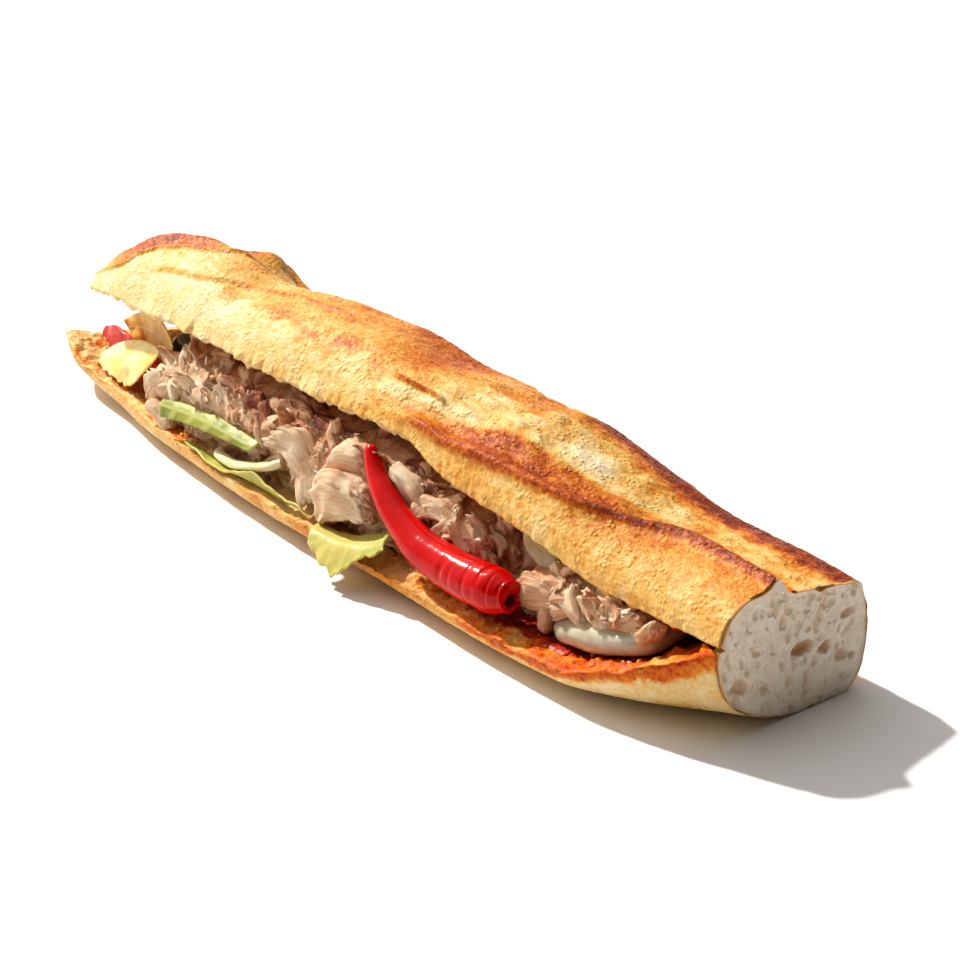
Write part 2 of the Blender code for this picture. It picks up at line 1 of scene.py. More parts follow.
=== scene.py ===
"""The finished look of a tuna sandwich in half a baguette.

Shapes are worked out in millimetres, in the part's own coordinates: the loaf lies along X with its
cut end at +X, the slit is on the front at -Y, and it rests on Z = 0. SHIFT and MM bring them to the
frame, which is in metres.
"""

import math
import random

import bpy
import numpy as np
from mathutils import Matrix, Vector
from mathutils.bvhtree import BVHTree


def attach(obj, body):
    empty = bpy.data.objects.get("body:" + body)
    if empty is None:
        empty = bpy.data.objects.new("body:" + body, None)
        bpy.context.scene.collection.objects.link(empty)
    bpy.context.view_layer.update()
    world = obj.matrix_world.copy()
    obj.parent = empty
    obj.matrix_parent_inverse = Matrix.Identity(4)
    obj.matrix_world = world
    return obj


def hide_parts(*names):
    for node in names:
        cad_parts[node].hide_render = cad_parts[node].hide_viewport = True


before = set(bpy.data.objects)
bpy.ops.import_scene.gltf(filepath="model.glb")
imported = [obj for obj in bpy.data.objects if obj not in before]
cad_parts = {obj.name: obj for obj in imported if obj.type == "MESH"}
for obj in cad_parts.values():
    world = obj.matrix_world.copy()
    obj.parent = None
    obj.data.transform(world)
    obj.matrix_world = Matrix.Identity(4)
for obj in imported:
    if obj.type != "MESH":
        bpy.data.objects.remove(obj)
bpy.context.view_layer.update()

MM = 0.001
SHIFT = np.array((1.5, 6.75, 0.0))
SEED = 8

# The loaf, in the order heel to cut end: (distance along X, size)
TIP_X = -173.0
UPPER_TIP_X = -156.5
TIP_ROUNDING = 9.0
CUT_X = 170.0
HALF_WIDTH = (
    (-173, 4), (-166, 10.5), (-150, 17.5), (-120, 24.5), (-80, 29.5), (-20, 31.5), (70, 32),
    (170, 30),
)
CROWN = (
    (-168, 5), (-160, 8.5), (-150, 13.5), (-140, 19), (-128, 26), (-108, 30.5), (-92, 28.5),
    (-66, 24), (-35, 26.8), (-10, 26.7), (20, 23.5), (42, 25), (62, 26.7), (80, 23.7),
    (100, 20.1), (120, 17.8), (145, 18.3), (170, 17.2),
)
HINGE_HEIGHT = (
    (-173, 9), (-166, 11.5), (-150, 16.5), (-130, 20), (-110, 21.5), (0, 22), (90, 21),
    (170, 18),
)
HEEL_RISE = ((-168, 15.5), (-155, 11.5), (-140, 7), (-125, 3), (-110, 0), (170, 0))
LIFT_DEGREES = (
    (-173, 16), (-150, 24), (-110, 27), (-20, 24.5), (30, 25), (55, 19), (90, 15.5),
    (127, 11), (170, 12.5),
)
BASE_HEIGHT = ((-173, 11), (-160, 6), (-135, 1), (-110, -1), (150, -1), (170, -0.6))
BASE_Y = ((-173, -6), (-150, -4), (-90, -2), (60, -3), (130, 6), (170, 17))
RIM_Y = (
    (-173, -10), (-156, -17.5), (-129, -21), (-103, -27), (-78, -31), (-47, -35),
    (0, -39), (47, -41.5), (90, -44.5), (122, -45), (141, -41.5), (160, -34), (170, -29.5),
)
RIM_HEIGHT = (
    (-173, 15), (-150, 11.5), (-103, 10), (0, 9.5), (90, 9), (118, 10), (135, 14),
    (155, 22), (170, 29),
)
INNER_FLOOR = (
    (-173, 13.5), (-140, 8), (0, 6.5), (90, 6.5), (120, 9), (145, 16), (160, 25),
    (170, 30),
)
UPPER_HOLLOW = (
    (-173, 0.2), (-140, 3), (0, 4), (100, 3), (150, 0.5), (160, -1.5), (170, -3),
)
HINGE_INSET = 4.0
# How square the section is: 2 is an ellipse. BASE_SHARE of the lower crust lies behind the lowest line
OUTLINE_POWER, LOWER_POWER, BASE_SHARE = 2.35, 2.5, 0.4
# Where the two cut faces stop, short of the closed cut end
FACE_END_X = CUT_X - 7

# The scores, as (X, share of the way over the crown): the front lip, the deepest line and the crest
SCORE_LIP = (
    (14, 0.03), (31, 0.06), (54, 0.11), (77, 0.16), (99, 0.23), (117, 0.335), (137, 0.41),
    (170, 0.40),
)
SCORE_VALLEY = (
    (14, 0.17), (26, 0.185), (40, 0.20), (53, 0.24), (61, 0.295), (80, 0.375), (100, 0.43),
    (116, 0.50), (137, 0.51), (170, 0.50),
)
SCORE_CREST = ((14, 0.74), (170, 0.74))
HEEL_LINE = (
    (-160, 0.10), (-133, 0.145), (-128, 0.205), (-121, 0.25), (-108, 0.295), (-98, 0.34),
    (-87, 0.44), (-70, 0.50), (-40, 0.56),
)
HEEL_FAINT = (
    (-125, 0.10), (-115, 0.125), (-88, 0.18), (-73, 0.275), (-54, 0.355), (-32, 0.345),
    (-15, 0.33),
)
HEEL_FRONT = ((-168, 0.30), (52, 0.62))
HEEL_BACK = ((-168, 0.62), (52, 0.80))
RIDGE_FRONT = ((-60, 0.46), (-32, 0.45), (-7, 0.45), (5, 0.455), (17, 0.475), (26, 0.515), (40, 0.55))

# How finely the pieces are made, in points, and how many there are of what is scattered
LOAF_ROWS, UPPER_CRUST, UPPER_FACE, LOWER_CRUST, LOWER_FACE = 400, 170, 38, 84, 56
TUNA_ROWS, END_ANGLES, END_RINGS = 410, 320, 100
FLAKES, FIBRES, CRUMBS, SMALL_HOLES = 320, 700, 90, 420


def along(x, knots):
    """The value at x of a smooth curve through the knots, with no overshoot between them."""
    xs = np.array([k[0] for k in knots], float)
    ys = np.array([k[1] for k in knots], float)
    x = np.clip(x, xs[0], xs[-1])
    steps = np.diff(ys) / np.diff(xs)
    slopes = np.zeros(len(xs))
    slopes[0], slopes[-1] = steps[0], steps[-1]
    for i in range(1, len(xs) - 1):
        if steps[i - 1] * steps[i] > 0:
            slopes[i] = 2 * steps[i - 1] * steps[i] / (steps[i - 1] + steps[i])
    i = np.clip(np.searchsorted(xs, x, side="right") - 1, 0, len(xs) - 2)
    width = xs[i + 1] - xs[i]
    t = (x - xs[i]) / width
    return (
        (2 * t**3 - 3 * t**2 + 1) * ys[i]
        + (t**3 - 2 * t**2 + t) * width * slopes[i]
        + (3 * t**2 - 2 * t**3) * ys[i + 1]
        + (t**3 - t**2) * width * slopes[i + 1]
    )


def signed_power(value, power):
    return np.copysign(np.abs(value) ** power, value)


def smooth(t):
    t = np.clip(t, 0.0, 1.0)
    return t * t * (3 - 2 * t)


def between(t, low, rise, high, fall):
    """1 between low and high, going smoothly to 0 over the width rise above low and fall below high."""
    return smooth((t - low) / rise) * smooth((high - t) / fall)


def bump(distance, width):
    return np.exp(-((distance / width) ** 2))


def hashed(ix, iy, iz, seed):
    """A repeatable number from 0 to 1 for each whole-numbered place."""
    h = (ix * 374761393 + iy * 668265263 + iz * 1440662683 + seed * 974711) & 0xFFFFFFFF
    h = ((h ^ (h >> 13)) * 1274126177) & 0xFFFFFFFF
    h = ((h ^ (h >> 15)) * 2246822519) & 0xFFFFFFFF
    return (h ^ (h >> 16)) / 4294967296.0


def noise(points, size, seed=0):
    """Smooth noise from -1 to 1 at each point, with features about size millimetres across."""
    p = np.asarray(points, float) / size
    cell = np.floor(p).astype(np.int64)
    t = p - cell
    t = t * t * t * (t * (t * 6 - 15) + 10)
    total = 0.0
    for dx in (0, 1):
        for dy in (0, 1):
            for dz in (0, 1):
                weight = (t[..., 0] if dx else 1 - t[..., 0]) * (t[..., 1] if dy else 1 - t[..., 1])
                weight = weight * (t[..., 2] if dz else 1 - t[..., 2])
                corner = hashed(cell[..., 0] + dx, cell[..., 1] + dy, cell[..., 2] + dz, seed)
                total = total + weight * corner
    return total * 2 - 1


def fractal(points, size, octaves, seed=0):
    total, strength = 0.0, 1.0
    for i in range(octaves):
        total = total + strength * noise(points, size / 2**i, seed + 17 * i)
        strength *= 0.5
    return total


def cells(points, size, seed=0):
    """How far each point is from the nearest of scattered centres about size apart, and which one."""
    p = np.asarray(points, float) / size
    cell = np.floor(p).astype(np.int64)
    nearest = np.full(p.shape[:-1], 9.0)
    which = np.zeros(p.shape[:-1])
    for dx in (-1, 0, 1):
        for dy in (-1, 0, 1):
            for dz in (-1, 0, 1):
                there = [cell[..., 0] + dx, cell[..., 1] + dy, cell[..., 2] + dz]
                away = 0.0
                for axis in range(3):
                    centre = there[axis] + 0.15 + 0.7 * hashed(*there, seed + axis + 1)
                    away = away + (p[..., axis] - centre) ** 2
                closer = away < nearest
                nearest = np.where(closer, away, nearest)
                which = np.where(closer, hashed(*there, seed + 9), which)
    return np.sqrt(nearest), which


def hinge(x):
    """(y, z) of the line along the back that the upper half turns about."""
    return along(x, HALF_WIDTH) - HINGE_INSET, along(x, HINGE_HEIGHT)


def lifted(x, reach, height):
    """(y, z) of a point of the upper half: reach forward from the hinge, height over the cut."""
    y, z = hinge(x)
    z = z + along(x, HEEL_RISE)
    lift = np.radians(along(x, LIFT_DEGREES))
    return (
        y - reach * np.cos(lift) + height * np.sin(lift),
        z + reach * np.sin(lift) + height * np.cos(lift),
    )


def tip_share(x):
    """How much of its section the upper half has at x: its end is rounded off."""
    t = np.clip((x - UPPER_TIP_X) / TIP_ROUNDING, 0.0, 1.0)
    return 0.45 + 0.55 * np.sqrt(1 - (1 - t) ** 2)


def score_shares(x):
    """How far each score is open at x: the heel's, then the one to the cut end."""
    return between(x, -168, 26, 52, 22), smooth((x - 14) / 30)


def score_relief(x, u):
    """How far the scores raise or sink the crust at share u of the way over the crown."""
    heel, end = score_shares(x)
    front, back = along(x, HEEL_FRONT), along(x, HEEL_BACK)
    inside = smooth((u - front) / 0.05) * smooth((back - u) / 0.05)
    total = heel * (1.6 * bump(u - front, 0.045) - 1.6 * inside + 1.3 * bump(u - back, 0.04))
    lip, valley, crest = along(x, SCORE_LIP), along(x, SCORE_VALLEY), along(x, SCORE_CREST)
    inside = smooth((u - lip) / 0.04) * smooth((crest - u) / np.maximum(0.05, crest - valley))
    return total + end * (2.4 * bump(u - lip, 0.035) - 3.2 * inside + 1.9 * bump(u - crest, 0.05))


def fine_score_relief(x, u):
    """Smaller steps and cracks along the scores, in millimetres."""
    line, faint = along(x, HEEL_LINE), along(x, HEEL_FAINT)
    near_heel = between(x, -155, 15, -62, 20)
    step = 0.9 * smooth((u - line) / 0.02) * bump(u - line - 0.03, 0.06) - 1.0 * bump(u - line, 0.012)
    middle = between(x, -125, 25, -10, 20)
    fold = 0.6 * bump(u - faint, 0.015) - 0.4 * bump(u - faint - 0.03, 0.015)
    crack = bump(u - 0.205, 0.010) * between(x, 14, 5, 40, 5)
    return near_heel * step + middle * fold - 1.8 * crack


def heel_ear(x, u):
    """The flap of crust that stands up near the heel, behind the first score."""
    return 5.0 * bump(x + 97, 8) * bump(u - 0.60, 0.09)


def upper_outer(x, u):
    """(y, z) on the crust of the upper half, from the lip at u = 0 to the back at u = 1."""
    width, crown = along(x, HALF_WIDTH), along(x, CROWN)
    power = 2 / OUTLINE_POWER
    c, s = np.cos(np.pi * u), np.sin(np.pi * u)
    raised = (score_relief(x, u) + heel_ear(x, u)) * np.minimum(1.0, crown / 15)
    share = tip_share(x)
    reach = width - HINGE_INSET + (width * signed_power(c, power) + raised * c) * share
    return lifted(x, reach, (crown * signed_power(s, power) + raised * s) * share)


def upper_inner(x, v):
    """(y, z) on the cut face of the upper half, from the back at v = 0 to the lip at v = 1."""
    width = along(x, HALF_WIDTH)
    full = 2 * width - HINGE_INSET
    hollow = along(x, UPPER_HOLLOW)
    reach = -HINGE_INSET + (full + HINGE_INSET) * v
    share = np.maximum(0.0, reach) / full
    height = hollow * np.sin(np.pi * np.minimum(1.0, share)) - 3.0 * (1 - smooth(share / 0.18))
    height = height + np.where(hollow < 0, hollow * (1 - share), 0.0)
    tip = tip_share(x)
    middle = width - HINGE_INSET
    return lifted(x, middle + (reach - middle) * tip, height * tip)


def lower_outer(x, u):
    """(y, z) on the crust of the lower half, from the back at u = 0 to the rim at u = 1."""
    base, base_y = along(x, BASE_HEIGHT), along(x, BASE_Y)
    power, behind = 2 / LOWER_POWER, u < BASE_SHARE
    angle = np.where(behind, 1 - u / BASE_SHARE, (u - BASE_SHARE) / (1 - BASE_SHARE)) * (np.pi / 2)
    side = np.where(behind, along(x, HALF_WIDTH), along(x, RIM_Y))
    top = np.where(behind, along(x, HINGE_HEIGHT), along(x, RIM_HEIGHT))
    y = base_y + (side - base_y) * np.clip(np.sin(angle), 0, 1) ** power
    z = base + (top - base) * (1 - np.clip(np.cos(angle), 0, 1) ** power)
    return y, np.maximum(0.0, z)


def floor_height(x, y):
    """The height of the cut face of the lower half at (x, y)."""
    floor, rim_y, rim = along(x, INNER_FLOOR), along(x, RIM_Y) + 2.5, along(x, RIM_HEIGHT)
    back_y, back = hinge(x)
    middle = 0.25 * rim_y + 0.1 * back_y
    front_side = smooth((middle - y) / np.maximum(1.0, middle - rim_y))
    back_side = np.clip((y - middle) / np.maximum(1.0, back_y - middle), 0.0, 1.0) ** 2.6
    return floor + (rim - floor) * front_side + (back - floor) * back_side


def lower_inner(x, v):
    """(y, z) on the cut face of the lower half, from the rim at v = 0 to the back at v = 1."""
    rim_y = along(x, RIM_Y)
    back_y = hinge(x)[0] + 1.0
    y = rim_y + (back_y - rim_y) * (0.04 + 0.96 * v)
    return y, floor_height(x, y)


def roof_height(x, y):
    """The height of the cut face of the upper half over (x, y)."""
    back_y, back = hinge(x)
    lift = np.radians(along(x, LIFT_DEGREES))
    share = (back_y - y) / np.cos(lift) / (2 * along(x, HALF_WIDTH) - HINGE_INSET)
    hollow = along(x, UPPER_HOLLOW) * np.sin(np.pi * np.clip(share, 0.0, 1.0))
    return back + (back_y - y) * np.tan(lift) + hollow


# Meshes


def lattice(rows, columns):
    """The row's and the column's value at each point of a grid."""
    return np.meshgrid(rows, columns, indexing="ij")


def shares(rows, columns):
    """The share of the way down and across at each point of a grid."""
    return lattice(np.linspace(0, 1, rows), np.linspace(0, 1, columns))


def grid_faces(rows, columns, around=False):
    """Faces of a grid of points stored row by row. around joins the last column to the first."""
    i, j = lattice(np.arange(rows - 1), np.arange(columns if around else columns - 1))
    k = (j + 1) % columns
    quads = [i * columns + j, i * columns + k, (i + 1) * columns + k, (i + 1) * columns + j]
    return np.stack(quads, -1).reshape(-1, 4)


def grid_normals(points, around=False):
    """Unit normals of a grid of points, on the side that grid_faces turns outwards."""
    if around:
        across = np.roll(points, -1, 1) - np.roll(points, 1, 1)
    else:
        across = np.gradient(points, axis=1)
    normal = np.cross(across, np.gradient(points, axis=0))
    return normal / np.maximum(1e-9, np.linalg.norm(normal, axis=-1, keepdims=True))


def roughened(points, depth, size, seed, around=False):
    """The grid with smooth relief about depth millimetres deep along its normals."""
    return points + grid_normals(points, around) * (depth * noise(points, size, seed))[..., None]


class Parts:
    """Gathers points, faces and per-point values for one mesh."""

    def __init__(self):
        self.points, self.faces, self.values, self.count = [], [], {}, 0

    def gather(self, points, faces, values):
        """Adds points, faces counted from the first of them, and named values for each point."""
        self.points.append(points)
        self.faces += [some + self.count for some in faces]
        for name, value in values.items():
            self.values.setdefault(name, []).append(value)
        self.count += len(points)

    def make(self, name, material, node):
        """The finished mesh object, in metres in the frame."""
        points = (np.concatenate(self.points) + SHIFT) * MM
        starts, total = [], 0
        for faces in self.faces:
            starts.append(total + np.arange(len(faces)) * faces.shape[1])
            total += faces.size
        starts = np.concatenate(starts)
        corners = np.concatenate([faces.reshape(-1) for faces in self.faces])
        mesh = bpy.data.meshes.new(name)
        mesh.vertices.add(len(points))
        mesh.vertices.foreach_set("co", points.reshape(-1))
        mesh.loops.add(len(corners))
        mesh.loops.foreach_set("vertex_index", corners.astype(np.int32))
        mesh.polygons.add(len(starts))
        mesh.polygons.foreach_set("loop_start", starts.astype(np.int32))
        mesh.update(calc_edges=True)
        mesh.validate()
        for label, chunks in self.values.items():
            value = np.concatenate(chunks)
            kind, key = ("FLOAT_VECTOR", "vector") if value.ndim == 2 else ("FLOAT", "value")
            layer = mesh.attributes.new(label, kind, "POINT")
            layer.data.foreach_set(key, value.reshape(-1).astype(np.float32))
        mesh.polygons.foreach_set("use_smooth", [True] * len(mesh.polygons))
        mesh.materials.append(material)
        return finished(placed(name, mesh), node)


def capped(rings):
    """The points or values of rings in one list, with the mean of each end ring added."""
    flat = rings.reshape(-1, *rings.shape[2:])
    return np.concatenate([flat, [rings[0].mean(0)], [rings[-1].mean(0)]])


def add_skin(parts, rings, **values):
    """A closed skin over rings, an array of rows, points and coordinates."""
    rows, columns = rings.shape[:2]
    size, ring = rows * columns, np.arange(columns)
    after, end = np.roll(ring, -1), size - columns
    first = np.stack([np.full(columns, size), after, ring], -1)
    last = np.stack([np.full(columns, size + 1), end + ring, end + after], -1)
    faces = [grid_faces(rows, columns, around=True), first, last]
    parts.gather(capped(rings), faces, {name: capped(value) for name, value in values.items()})


def placed(name, data):
    obj = bpy.data.objects.new(name, data)
    bpy.context.scene.collection.objects.link(obj)
    return obj


def finished(obj, node):
    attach(obj, "root")
    if node:
        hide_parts(node)
    return obj


# Materials


class Nodes:
    """Adds shader nodes to a new Principled material."""

    def __init__(self, name):
        self.material = bpy.data.materials.new(name)
        self.material.use_nodes = True
        self.tree = self.material.node_tree
        self.shader = self.tree.nodes["Principled BSDF"]
        self.place = self.node("ShaderNodeTexCoord").outputs["Object"]

    def node(self, kind, **settings):
        made = self.tree.nodes.new(kind)
        for key, value in settings.items():
            setattr(made, key, value)
        return made

    def join(self, socket, value):
        """Links the value to the socket, or sets it there if it is a constant."""
        if isinstance(value, bpy.types.NodeSocket):
            self.tree.links.new(value, socket)
        else:
            socket.default_value = value

    def fill(self, made, **values):
        """Gives the node's named inputs their values. An underscore stands for a space."""
        for name, value in values.items():
            self.join(made.inputs[name.replace("_", " ")], value)

    def finish(self, **values):
        """The material, with these inputs of its shader filled."""
        self.fill(self.shader, **values)
        return self.material

    def attribute(self, name, output="Fac"):
        return self.node("ShaderNodeAttribute", attribute_name=name).outputs[output]

    def math(self, operation, *values):
        made = self.node("ShaderNodeMath", operation=operation)
        for socket, value in zip(made.inputs, values):
            self.join(socket, value)
        return made.outputs[0]

    def times(self, a, b):
        return self.math("MULTIPLY", a, b)

    def sum(self, first, *others):
        for other in others:
            first = self.math("ADD", first, other)
        return first

    def swing(self, value, depth):
        """A value from 0 to 1 as one about 0, depth from its lowest to its highest."""
        return self.times(self.math("SUBTRACT", value, 0.5), depth)

    def noise(self, size, detail=3.0, rough=0.55, stretch=None):
        """Noise from 0 to 1, with features about size millimetres across. stretch is along the grain."""
        place = self.place
        if stretch:
            mapping = self.node("ShaderNodeMapping")
            self.fill(mapping, Vector=self.attribute("grain", "Vector"), Scale=stretch)
            place = mapping.outputs[0]
        made = self.node("ShaderNodeTexNoise")
        self.fill(made, Vector=place, Scale=1000.0 / size, Detail=detail, Roughness=rough)
        return made.outputs["Fac"]

    def cells(self, size, feature="F1"):
        """The distance to the nearest of scattered centres about size millimetres apart."""
        made = self.node("ShaderNodeTexVoronoi", feature=feature)
        self.fill(made, Vector=self.place, Scale=1000.0 / size)
        return made.outputs["Distance"]

    def ramp(self, value, *stops):
        """A colour for each value, from (value, (r, g, b) from 0 to 255) stops."""
        made = self.node("ShaderNodeValToRGB")
        self.join(made.inputs[0], value)
        elements = made.color_ramp.elements
        while len(elements) > 1:
            elements.remove(elements[-1])
        for i, (at, colour) in enumerate(stops):
            element = elements[0] if i == 0 else elements.new(at)
            element.position = at
            element.color = linear(colour)
        return made.outputs["Color"]

    def levels(self, value, low, high, to_low=0.0, to_high=1.0):
        """value moved smoothly from the range low to high into the range to_low to to_high."""
        made = self.node("ShaderNodeMapRange", interpolation_type="SMOOTHSTEP")
        self.fill(made, Value=value, From_Min=low, From_Max=high, To_Min=to_low, To_Max=to_high)
        return made.outputs["Result"]

    def mix(self, share, a, b):
        """The colour a, with this share of b. Each is a socket or (r, g, b) from 0 to 255."""
        made = self.node("ShaderNodeMix", data_type="RGBA")
        self.join(made.inputs[0], share)
        for socket, value in zip(made.inputs[6:8], (a, b)):
            self.join(socket, linear(value) if isinstance(value, tuple) else value)
        return made.outputs[2]

    def bump(self, height, depth, **below):
        """Fine relief, depth millimetres deep, on the relief that Normal gives."""
        made = self.node("ShaderNodeBump")
        self.fill(made, Strength=1.0, Distance=depth * MM, Height=height, **below)
        return made.outputs["Normal"]


def linear(colour):
    """An sRGB colour from 0 to 255, as Blender's linear colour."""
    unit = (value / 255 for value in colour)
    return (*(c / 12.92 if c <= 0.04045 else ((c + 0.055) / 1.055) ** 2.4 for c in unit), 1.0)


def crust_material():
    n = Nodes("baked_crust")
    toast, crumb, sauce, raised = (n.attribute(name) for name in ("toast", "crumb", "sauce", "raised"))
    specks = n.math("SUBTRACT", n.noise(1.3, 3.0, 0.7), 0.5)
    freckles = n.times(specks, n.math("MULTIPLY_ADD", toast, 1.1, 0.22))
    brown = n.ramp(
        n.sum(toast, n.swing(n.noise(7.0, 5.0, 0.65), 0.55), freckles, n.times(raised, 0.14)),
        (0.0, (244, 222, 178)), (0.14, (241, 208, 146)), (0.28, (235, 188, 108)), (0.42, (226, 160, 68)),
        (0.56, (212, 126, 36)), (0.70, (192, 90, 20)), (0.84, (160, 62, 14)), (1.0, (116, 42, 12)),
    )
    inside = n.ramp(
        n.noise(2.5, 4.0, 0.6),
        (0.25, (206, 150, 84)), (0.5, (230, 190, 128)), (0.75, (240, 212, 160)),
    )
    red = n.ramp(
        n.sum(sauce, n.swing(n.noise(2.6, 4.0, 0.65), 0.8)),
        (0.12, (240, 170, 36)), (0.34, (228, 118, 2)), (0.60, (188, 44, 0)), (0.95, (108, 8, 0)),
    )
    wet = n.levels(n.sum(sauce, n.swing(n.noise(2.0, 5.0, 0.7), 0.9)), 0.08, 0.42)
    bubbles = n.times(n.levels(n.cells(1.5), 0.12, 0.62, 1.0, 0.0), n.levels(n.noise(5.0, 2.0), 0.35, 0.65))
    fine = n.sum(n.times(bubbles, 0.6), n.times(n.noise(1.0, 4.0, 0.6), 0.8))
    shine = n.levels(n.noise(2.4, 3.0), 0.3, 0.75, 0.24, 0.46)
    return n.finish(
        Base_Color=n.mix(wet, n.mix(crumb, brown, inside), red),
        Roughness=n.sum(shine, n.times(crumb, 0.3)), Normal=n.bump(fine, 0.42), Specular_IOR_Level=0.12,
        Subsurface_Weight=0.05, Subsurface_Scale=0.001, Subsurface_Radius=(1.0, 0.5, 0.25),
    )


def crumb_material():
    n = Nodes("bread_crumb")
    base = n.ramp(
        n.noise(3.0, 5.0, 0.6), (0.2, (222, 200, 172)), (0.5, (238, 222, 200)), (0.8, (246, 236, 220))
    )
    # Painted shade: the deeper a place lies in a hole, the darker and browner it is painted
    colour = n.mix(n.levels(n.attribute("depth"), 0.7, 2.6, 0.0, 0.8), base, (206, 152, 100))
    fine = n.sum(n.times(n.cells(0.9, "SMOOTH_F1"), 0.7), n.times(n.noise(0.5, 3.0), 0.4))
    return n.finish(
        Base_Color=n.mix(n.attribute("edge"), colour, (212, 156, 92)), Roughness=0.85,
        Normal=n.bump(fine, 0.22), Specular_IOR_Level=0.25,
        Subsurface_Weight=0.25, Subsurface_Scale=0.002, Subsurface_Radius=(1.0, 0.7, 0.45),
    )


def tuna_material():
    n = Nodes("cooked_tuna")
    fibres = n.noise(1.0, 3.0, 0.6, stretch=(0.00015, 0.0012, 0.0012))
    colour = n.ramp(
        n.sum(n.attribute("tone"), n.swing(fibres, 0.60), n.swing(n.noise(6.0, 3.0, 0.6), 0.35)),
        (0.0, (96, 36, 16)), (0.2, (152, 76, 42)), (0.42, (206, 144, 100)), (0.62, (229, 184, 142)),
        (0.82, (240, 209, 170)), (1.0, (248, 229, 198)),
    )
    return n.finish(
        Base_Color=colour, Roughness=n.levels(n.noise(2.0), 0.3, 0.7, 0.40, 0.65),
        Normal=n.bump(n.noise(1.3, 5.0, 0.75), 0.6, Normal=n.bump(fibres, 0.7)), Specular_IOR_Level=0.3,
        Subsurface_Weight=0.10, Subsurface_Scale=0.0012, Subsurface_Radius=(1.0, 0.45, 0.3),
    )


def chilli_material():
    n = Nodes("red_chilli")
    skin = n.ramp(n.noise(9.0, 3.0), (0.3, (178, 0, 0)), (0.6, (206, 2, 1)), (0.8, (216, 10, 2)))
    return n.finish(
        # The open end's inside is painted dark red as shade in the hollow
        Base_Color=n.mix(n.attribute("inside"), skin, (122, 6, 4)), Roughness=0.2,
        Normal=n.bump(n.noise(1.0, 2.0, stretch=(0.0006, 0.0002, 0.0002)), 0.10), Specular_IOR_Level=0.12,
        Coat_Weight=0.12, Coat_Roughness=0.08, Subsurface_Weight=0.05, Subsurface_Scale=0.002,
        Subsurface_Radius=(1.0, 0.2, 0.1),
    )


def egg_material():
    n = Nodes("boiled_egg_white")
    colour = n.ramp(
        n.noise(5.0, 3.0), (0.3, (172, 160, 128)), (0.6, (190, 182, 156)), (0.8, (204, 198, 178))
    )
    return n.finish(
        Base_Color=n.mix(n.levels(n.attribute("tint"), 0.3, 1.0, 0.0, 0.6), colour, (216, 186, 120)),
        Roughness=0.2, Normal=n.bump(n.noise(3.0, 3.0), 0.25), Coat_Weight=0.2, Coat_Roughness=0.1,
        Subsurface_Weight=0.35, Subsurface_Scale=0.003, Subsurface_Radius=(1.0, 0.8, 0.6),
    )


def onion_material():
    n = Nodes("onion_slice")
    lines = n.noise(1.0, 2.0, 0.6, stretch=(0.00015, 0.0016, 0.0016))
    return n.finish(
        Base_Color=n.ramp(lines, (0.3, (206, 186, 120)), (0.5, (232, 218, 164)), (0.75, (246, 240, 208))),
        Roughness=0.22, Normal=n.bump(lines, 0.12), Coat_Weight=0.4, Coat_Roughness=0.12,
        Subsurface_Weight=0.4, Subsurface_Scale=0.002, Subsurface_Radius=(1.0, 0.9, 0.5),
    )


def leaf_material(name, light, middle, dark, vein):
    """A leaf. shade runs from 0, pale, to 1, dark, and vein marks the ribs."""
    n = Nodes(name)
    level = n.sum(n.attribute("shade"), n.swing(n.noise(5.0, 4.0, 0.6), 0.5))
    colour = n.ramp(level, (0.1, light), (0.5, middle), (0.9, dark))
    fine = n.sum(n.times(n.cells(1.6, "SMOOTH_F1"), 0.6), n.times(n.noise(0.8, 3.0), 0.5))
    return n.finish(
        Base_Color=n.mix(n.levels(n.attribute("vein"), 0.2, 0.9, 0.0, 0.75), colour, vein),
        Roughness=n.levels(n.noise(4.0), 0.3, 0.7, 0.38, 0.6), Normal=n.bump(fine, 0.16),
        Specular_IOR_Level=0.3, Subsurface_Weight=0.2, Subsurface_Scale=0.0012,
        Subsurface_Radius=(0.6, 1.0, 0.3),
    )


def tomato_material():
    n = Nodes("tomato_flesh")
    return n.finish(
        Base_Color=n.ramp(
            n.noise(4.0, 4.0), (0.3, (170, 16, 6)), (0.6, (204, 36, 14)), (0.8, (226, 84, 36))
        ),
        Roughness=0.18, Normal=n.bump(n.noise(1.6, 3.0), 0.2), Specular_IOR_Level=0.15,
        Coat_Weight=0.15, Coat_Roughness=0.08, Subsurface_Weight=0.1, Subsurface_Scale=0.002,
    )


def olive_material():
    n = Nodes("black_olive_skin")
    return n.finish(
        Base_Color=n.ramp(n.noise(5.0, 3.0), (0.3, (20, 22, 12)), (0.6, (38, 42, 20)), (0.8, (64, 62, 28))),
        Roughness=0.2, Normal=n.bump(n.noise(1.4, 3.0), 0.12), Coat_Weight=0.5,
    )


def sauce_material():
    n = Nodes("harissa_sauce")
    colour = n.ramp(
        n.noise(2.2, 4.0, 0.65), (0.25, (200, 72, 8)), (0.5, (174, 28, 4)), (0.75, (120, 10, 3))
    )
    return n.finish(
        Base_Color=colour, Roughness=0.3, Specular_IOR_Level=0.35,
        Normal=n.bump(n.noise(1.0, 4.0, 0.65), 0.3),
    )


# The bread


def crust_bumps(points, strength=1.0):
    """Relief of a baked crust in millimetres: broad swells, and blisters of three sizes."""
    total = 0.0
    for size, height, seed in ((4.2, 0.26, 3), (2.2, 0.26, 11), (1.3, 0.20, 13)):
        near, which = cells(points, size, seed)
        total = total + height * np.clip(1 - (near / 0.62) ** 2, 0, 1) * (0.25 + 0.75 * which)
    return 0.4 * noise(points, 22, 1) + 0.25 * noise(points, 10, 2), strength * total


